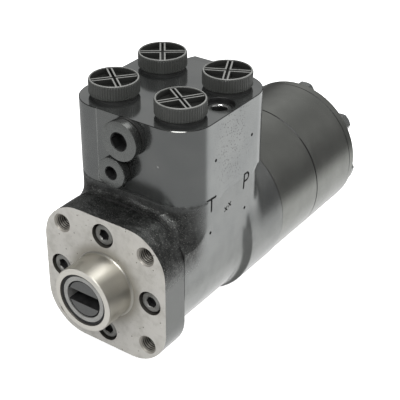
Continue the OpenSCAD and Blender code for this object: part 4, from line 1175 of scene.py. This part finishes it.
def main_pieces():
    """Makes every piece that takes the place of a CAD node."""
    housing()
    front_flange()
    flange_screws()
    collar_plug("large_front_plug", "large_plug", 9.5)
    collar_plug("small_front_plug", "small_plug", 7.0)
    top_plug()
    drive_insert()
    for node in CAP_NODES:
        port_cap(node)


main_pieces()


# Stage: floor, light and camera

# What the lamps face, in metres
HEART = (0.0, 0.09, 0.02)
# The floor's half width and gap under the part in metres, and its light to the camera
FLOOR_HALF = 2.0
FLOOR_GAP = 0.0004
FLOOR_LIFT = 0.75
# Levels of the even light, and of what shows in reflections: the ground behind, below and in front of the
# part, the dark horizon, and the roof to the left, to the right and in front
AMBIENT = 0.5
GROUND = 1.15
GROUND_BELOW = 1.5
GROUND_FRONT = 0.42
HORIZON = 0.12
ROOF_LEFT = 0.52
ROOF_RIGHT = 0.3
ROOF_FRONT = 0.14


def floor():
    """A pale floor just under the part, white to the camera apart from the shadow."""
    z = cad_box[0].z - FLOOR_GAP
    mesh = bpy.data.meshes.new("floor")
    mesh.from_pydata([(x, y, z) for x, y in strip(FLOOR_HALF, FLOOR_HALF)], [], [(0, 1, 2, 3)])
    ground = in_scene("floor", mesh)
    ground.visible_glossy = False
    s = Surface("floor_look", Roughness=0.9, Base_Color=(0.82, 0.82, 0.82), Emission_Color=(1.0, 1.0, 1.0))
    seen = s.node("LightPath").outputs["Is Camera Ray"]
    s.feed(s.shader.inputs["Emission Strength"], s.times(seen, FLOOR_LIFT))
    mesh.materials.append(s.material)


class Sky(Surface):
    """The world's light under construction, by the direction that a ray takes."""

    def __init__(self, name):
        world = bpy.data.worlds.new(name)
        world.use_nodes = True
        world.cycles.sampling_method = "NONE"
        bpy.context.scene.world = world
        self.tree = world.node_tree
        self.shader = self.tree.nodes["Background"]
        self.place = self.tree.nodes.new("ShaderNodeTexCoord").outputs["Generated"]


def studio():
    """White to the camera, even ambient light, and a white ground under a dim roof in reflections."""
    s = Sky("studio")
    x, y, z = s.axes()
    path = s.node("LightPath").outputs
    ground = s.ramp(y, 0.35, 0.62, GROUND_FRONT, s.ramp(z, -0.52, -0.75, GROUND, GROUND_BELOW))
    roof = s.mix_value(s.ramp(y, -0.1, 0.5), ROOF_FRONT, s.ramp(x, -0.35, 0.2, ROOF_LEFT, ROOF_RIGHT))
    upward = s.mix_value(s.ramp(z, 0.05, 0.5), HORIZON, roof)
    mirrored = s.mix_value(s.ramp(z, -0.1, -0.45), upward, ground)
    level = s.mix_value(path["Is Glossy Ray"], AMBIENT, mirrored)
    level = s.mix_value(path["Is Transmission Ray"], level, 1.0)
    s.feed(s.shader.inputs["Strength"], s.mix_value(path["Is Camera Ray"], level, 1.0))
    s.feed(s.shader.inputs["Color"], (1.0, 1.0, 1.0))


def soft_light(name, place, size, watts, mirrored=False):
    """A square soft box that faces the part, and shows in reflections only where mirrored."""
    lamp = bpy.data.lights.new(name, "AREA")
    lamp.shape = "SQUARE"
    lamp.size = size
    lamp.energy = watts
    made = in_scene(name, lamp)
    made.location = place
    made.rotation_euler = (Vector(HEART) - Vector(place)).to_track_quat("-Z", "Y").to_euler()
    made.visible_glossy = mirrored


def camera():
    """The photograph's view: the camera's azimuth, elevation, roll, place, lens and shift."""
    azimuth, elevation, roll = (math.radians(a) for a in (35.991, 29.784, -0.197))
    back = Vector((math.sin(azimuth) * math.cos(elevation), -math.cos(azimuth) * math.cos(elevation),
                   math.sin(elevation)))
    right = Vector((math.cos(azimuth), math.sin(azimuth), 0))
    up = back.cross(right)
    turned = Matrix.Rotation(roll, 3, back)
    axes = Matrix((turned @ right, turned @ up, back)).transposed()
    lens = bpy.data.cameras.new("camera")
    lens.lens = 95.63
    lens.sensor_width = 36.0
    lens.shift_x, lens.shift_y = 0.0418, -0.0536
    made = in_scene("camera", lens)
    made.matrix_world = Matrix.Translation(Vector((319.17, -364.9, 343.43)) * MM) @ axes.to_4x4()
    bpy.context.scene.camera = made


floor()
studio()
soft_light("key", (0.62, 0.5, 0.42), 0.5, 6.0)
soft_light("fill", (-0.35, -0.85, 0.55), 0.7, 5.0)
soft_light("front", (0.25, -0.45, 0.72), 0.45, 4.5, mirrored=True)
soft_light("top", (0.05, 0.35, 0.95), 0.5, 3.0, mirrored=True)
camera()
bpy.context.scene.view_settings.view_transform = "Standard"
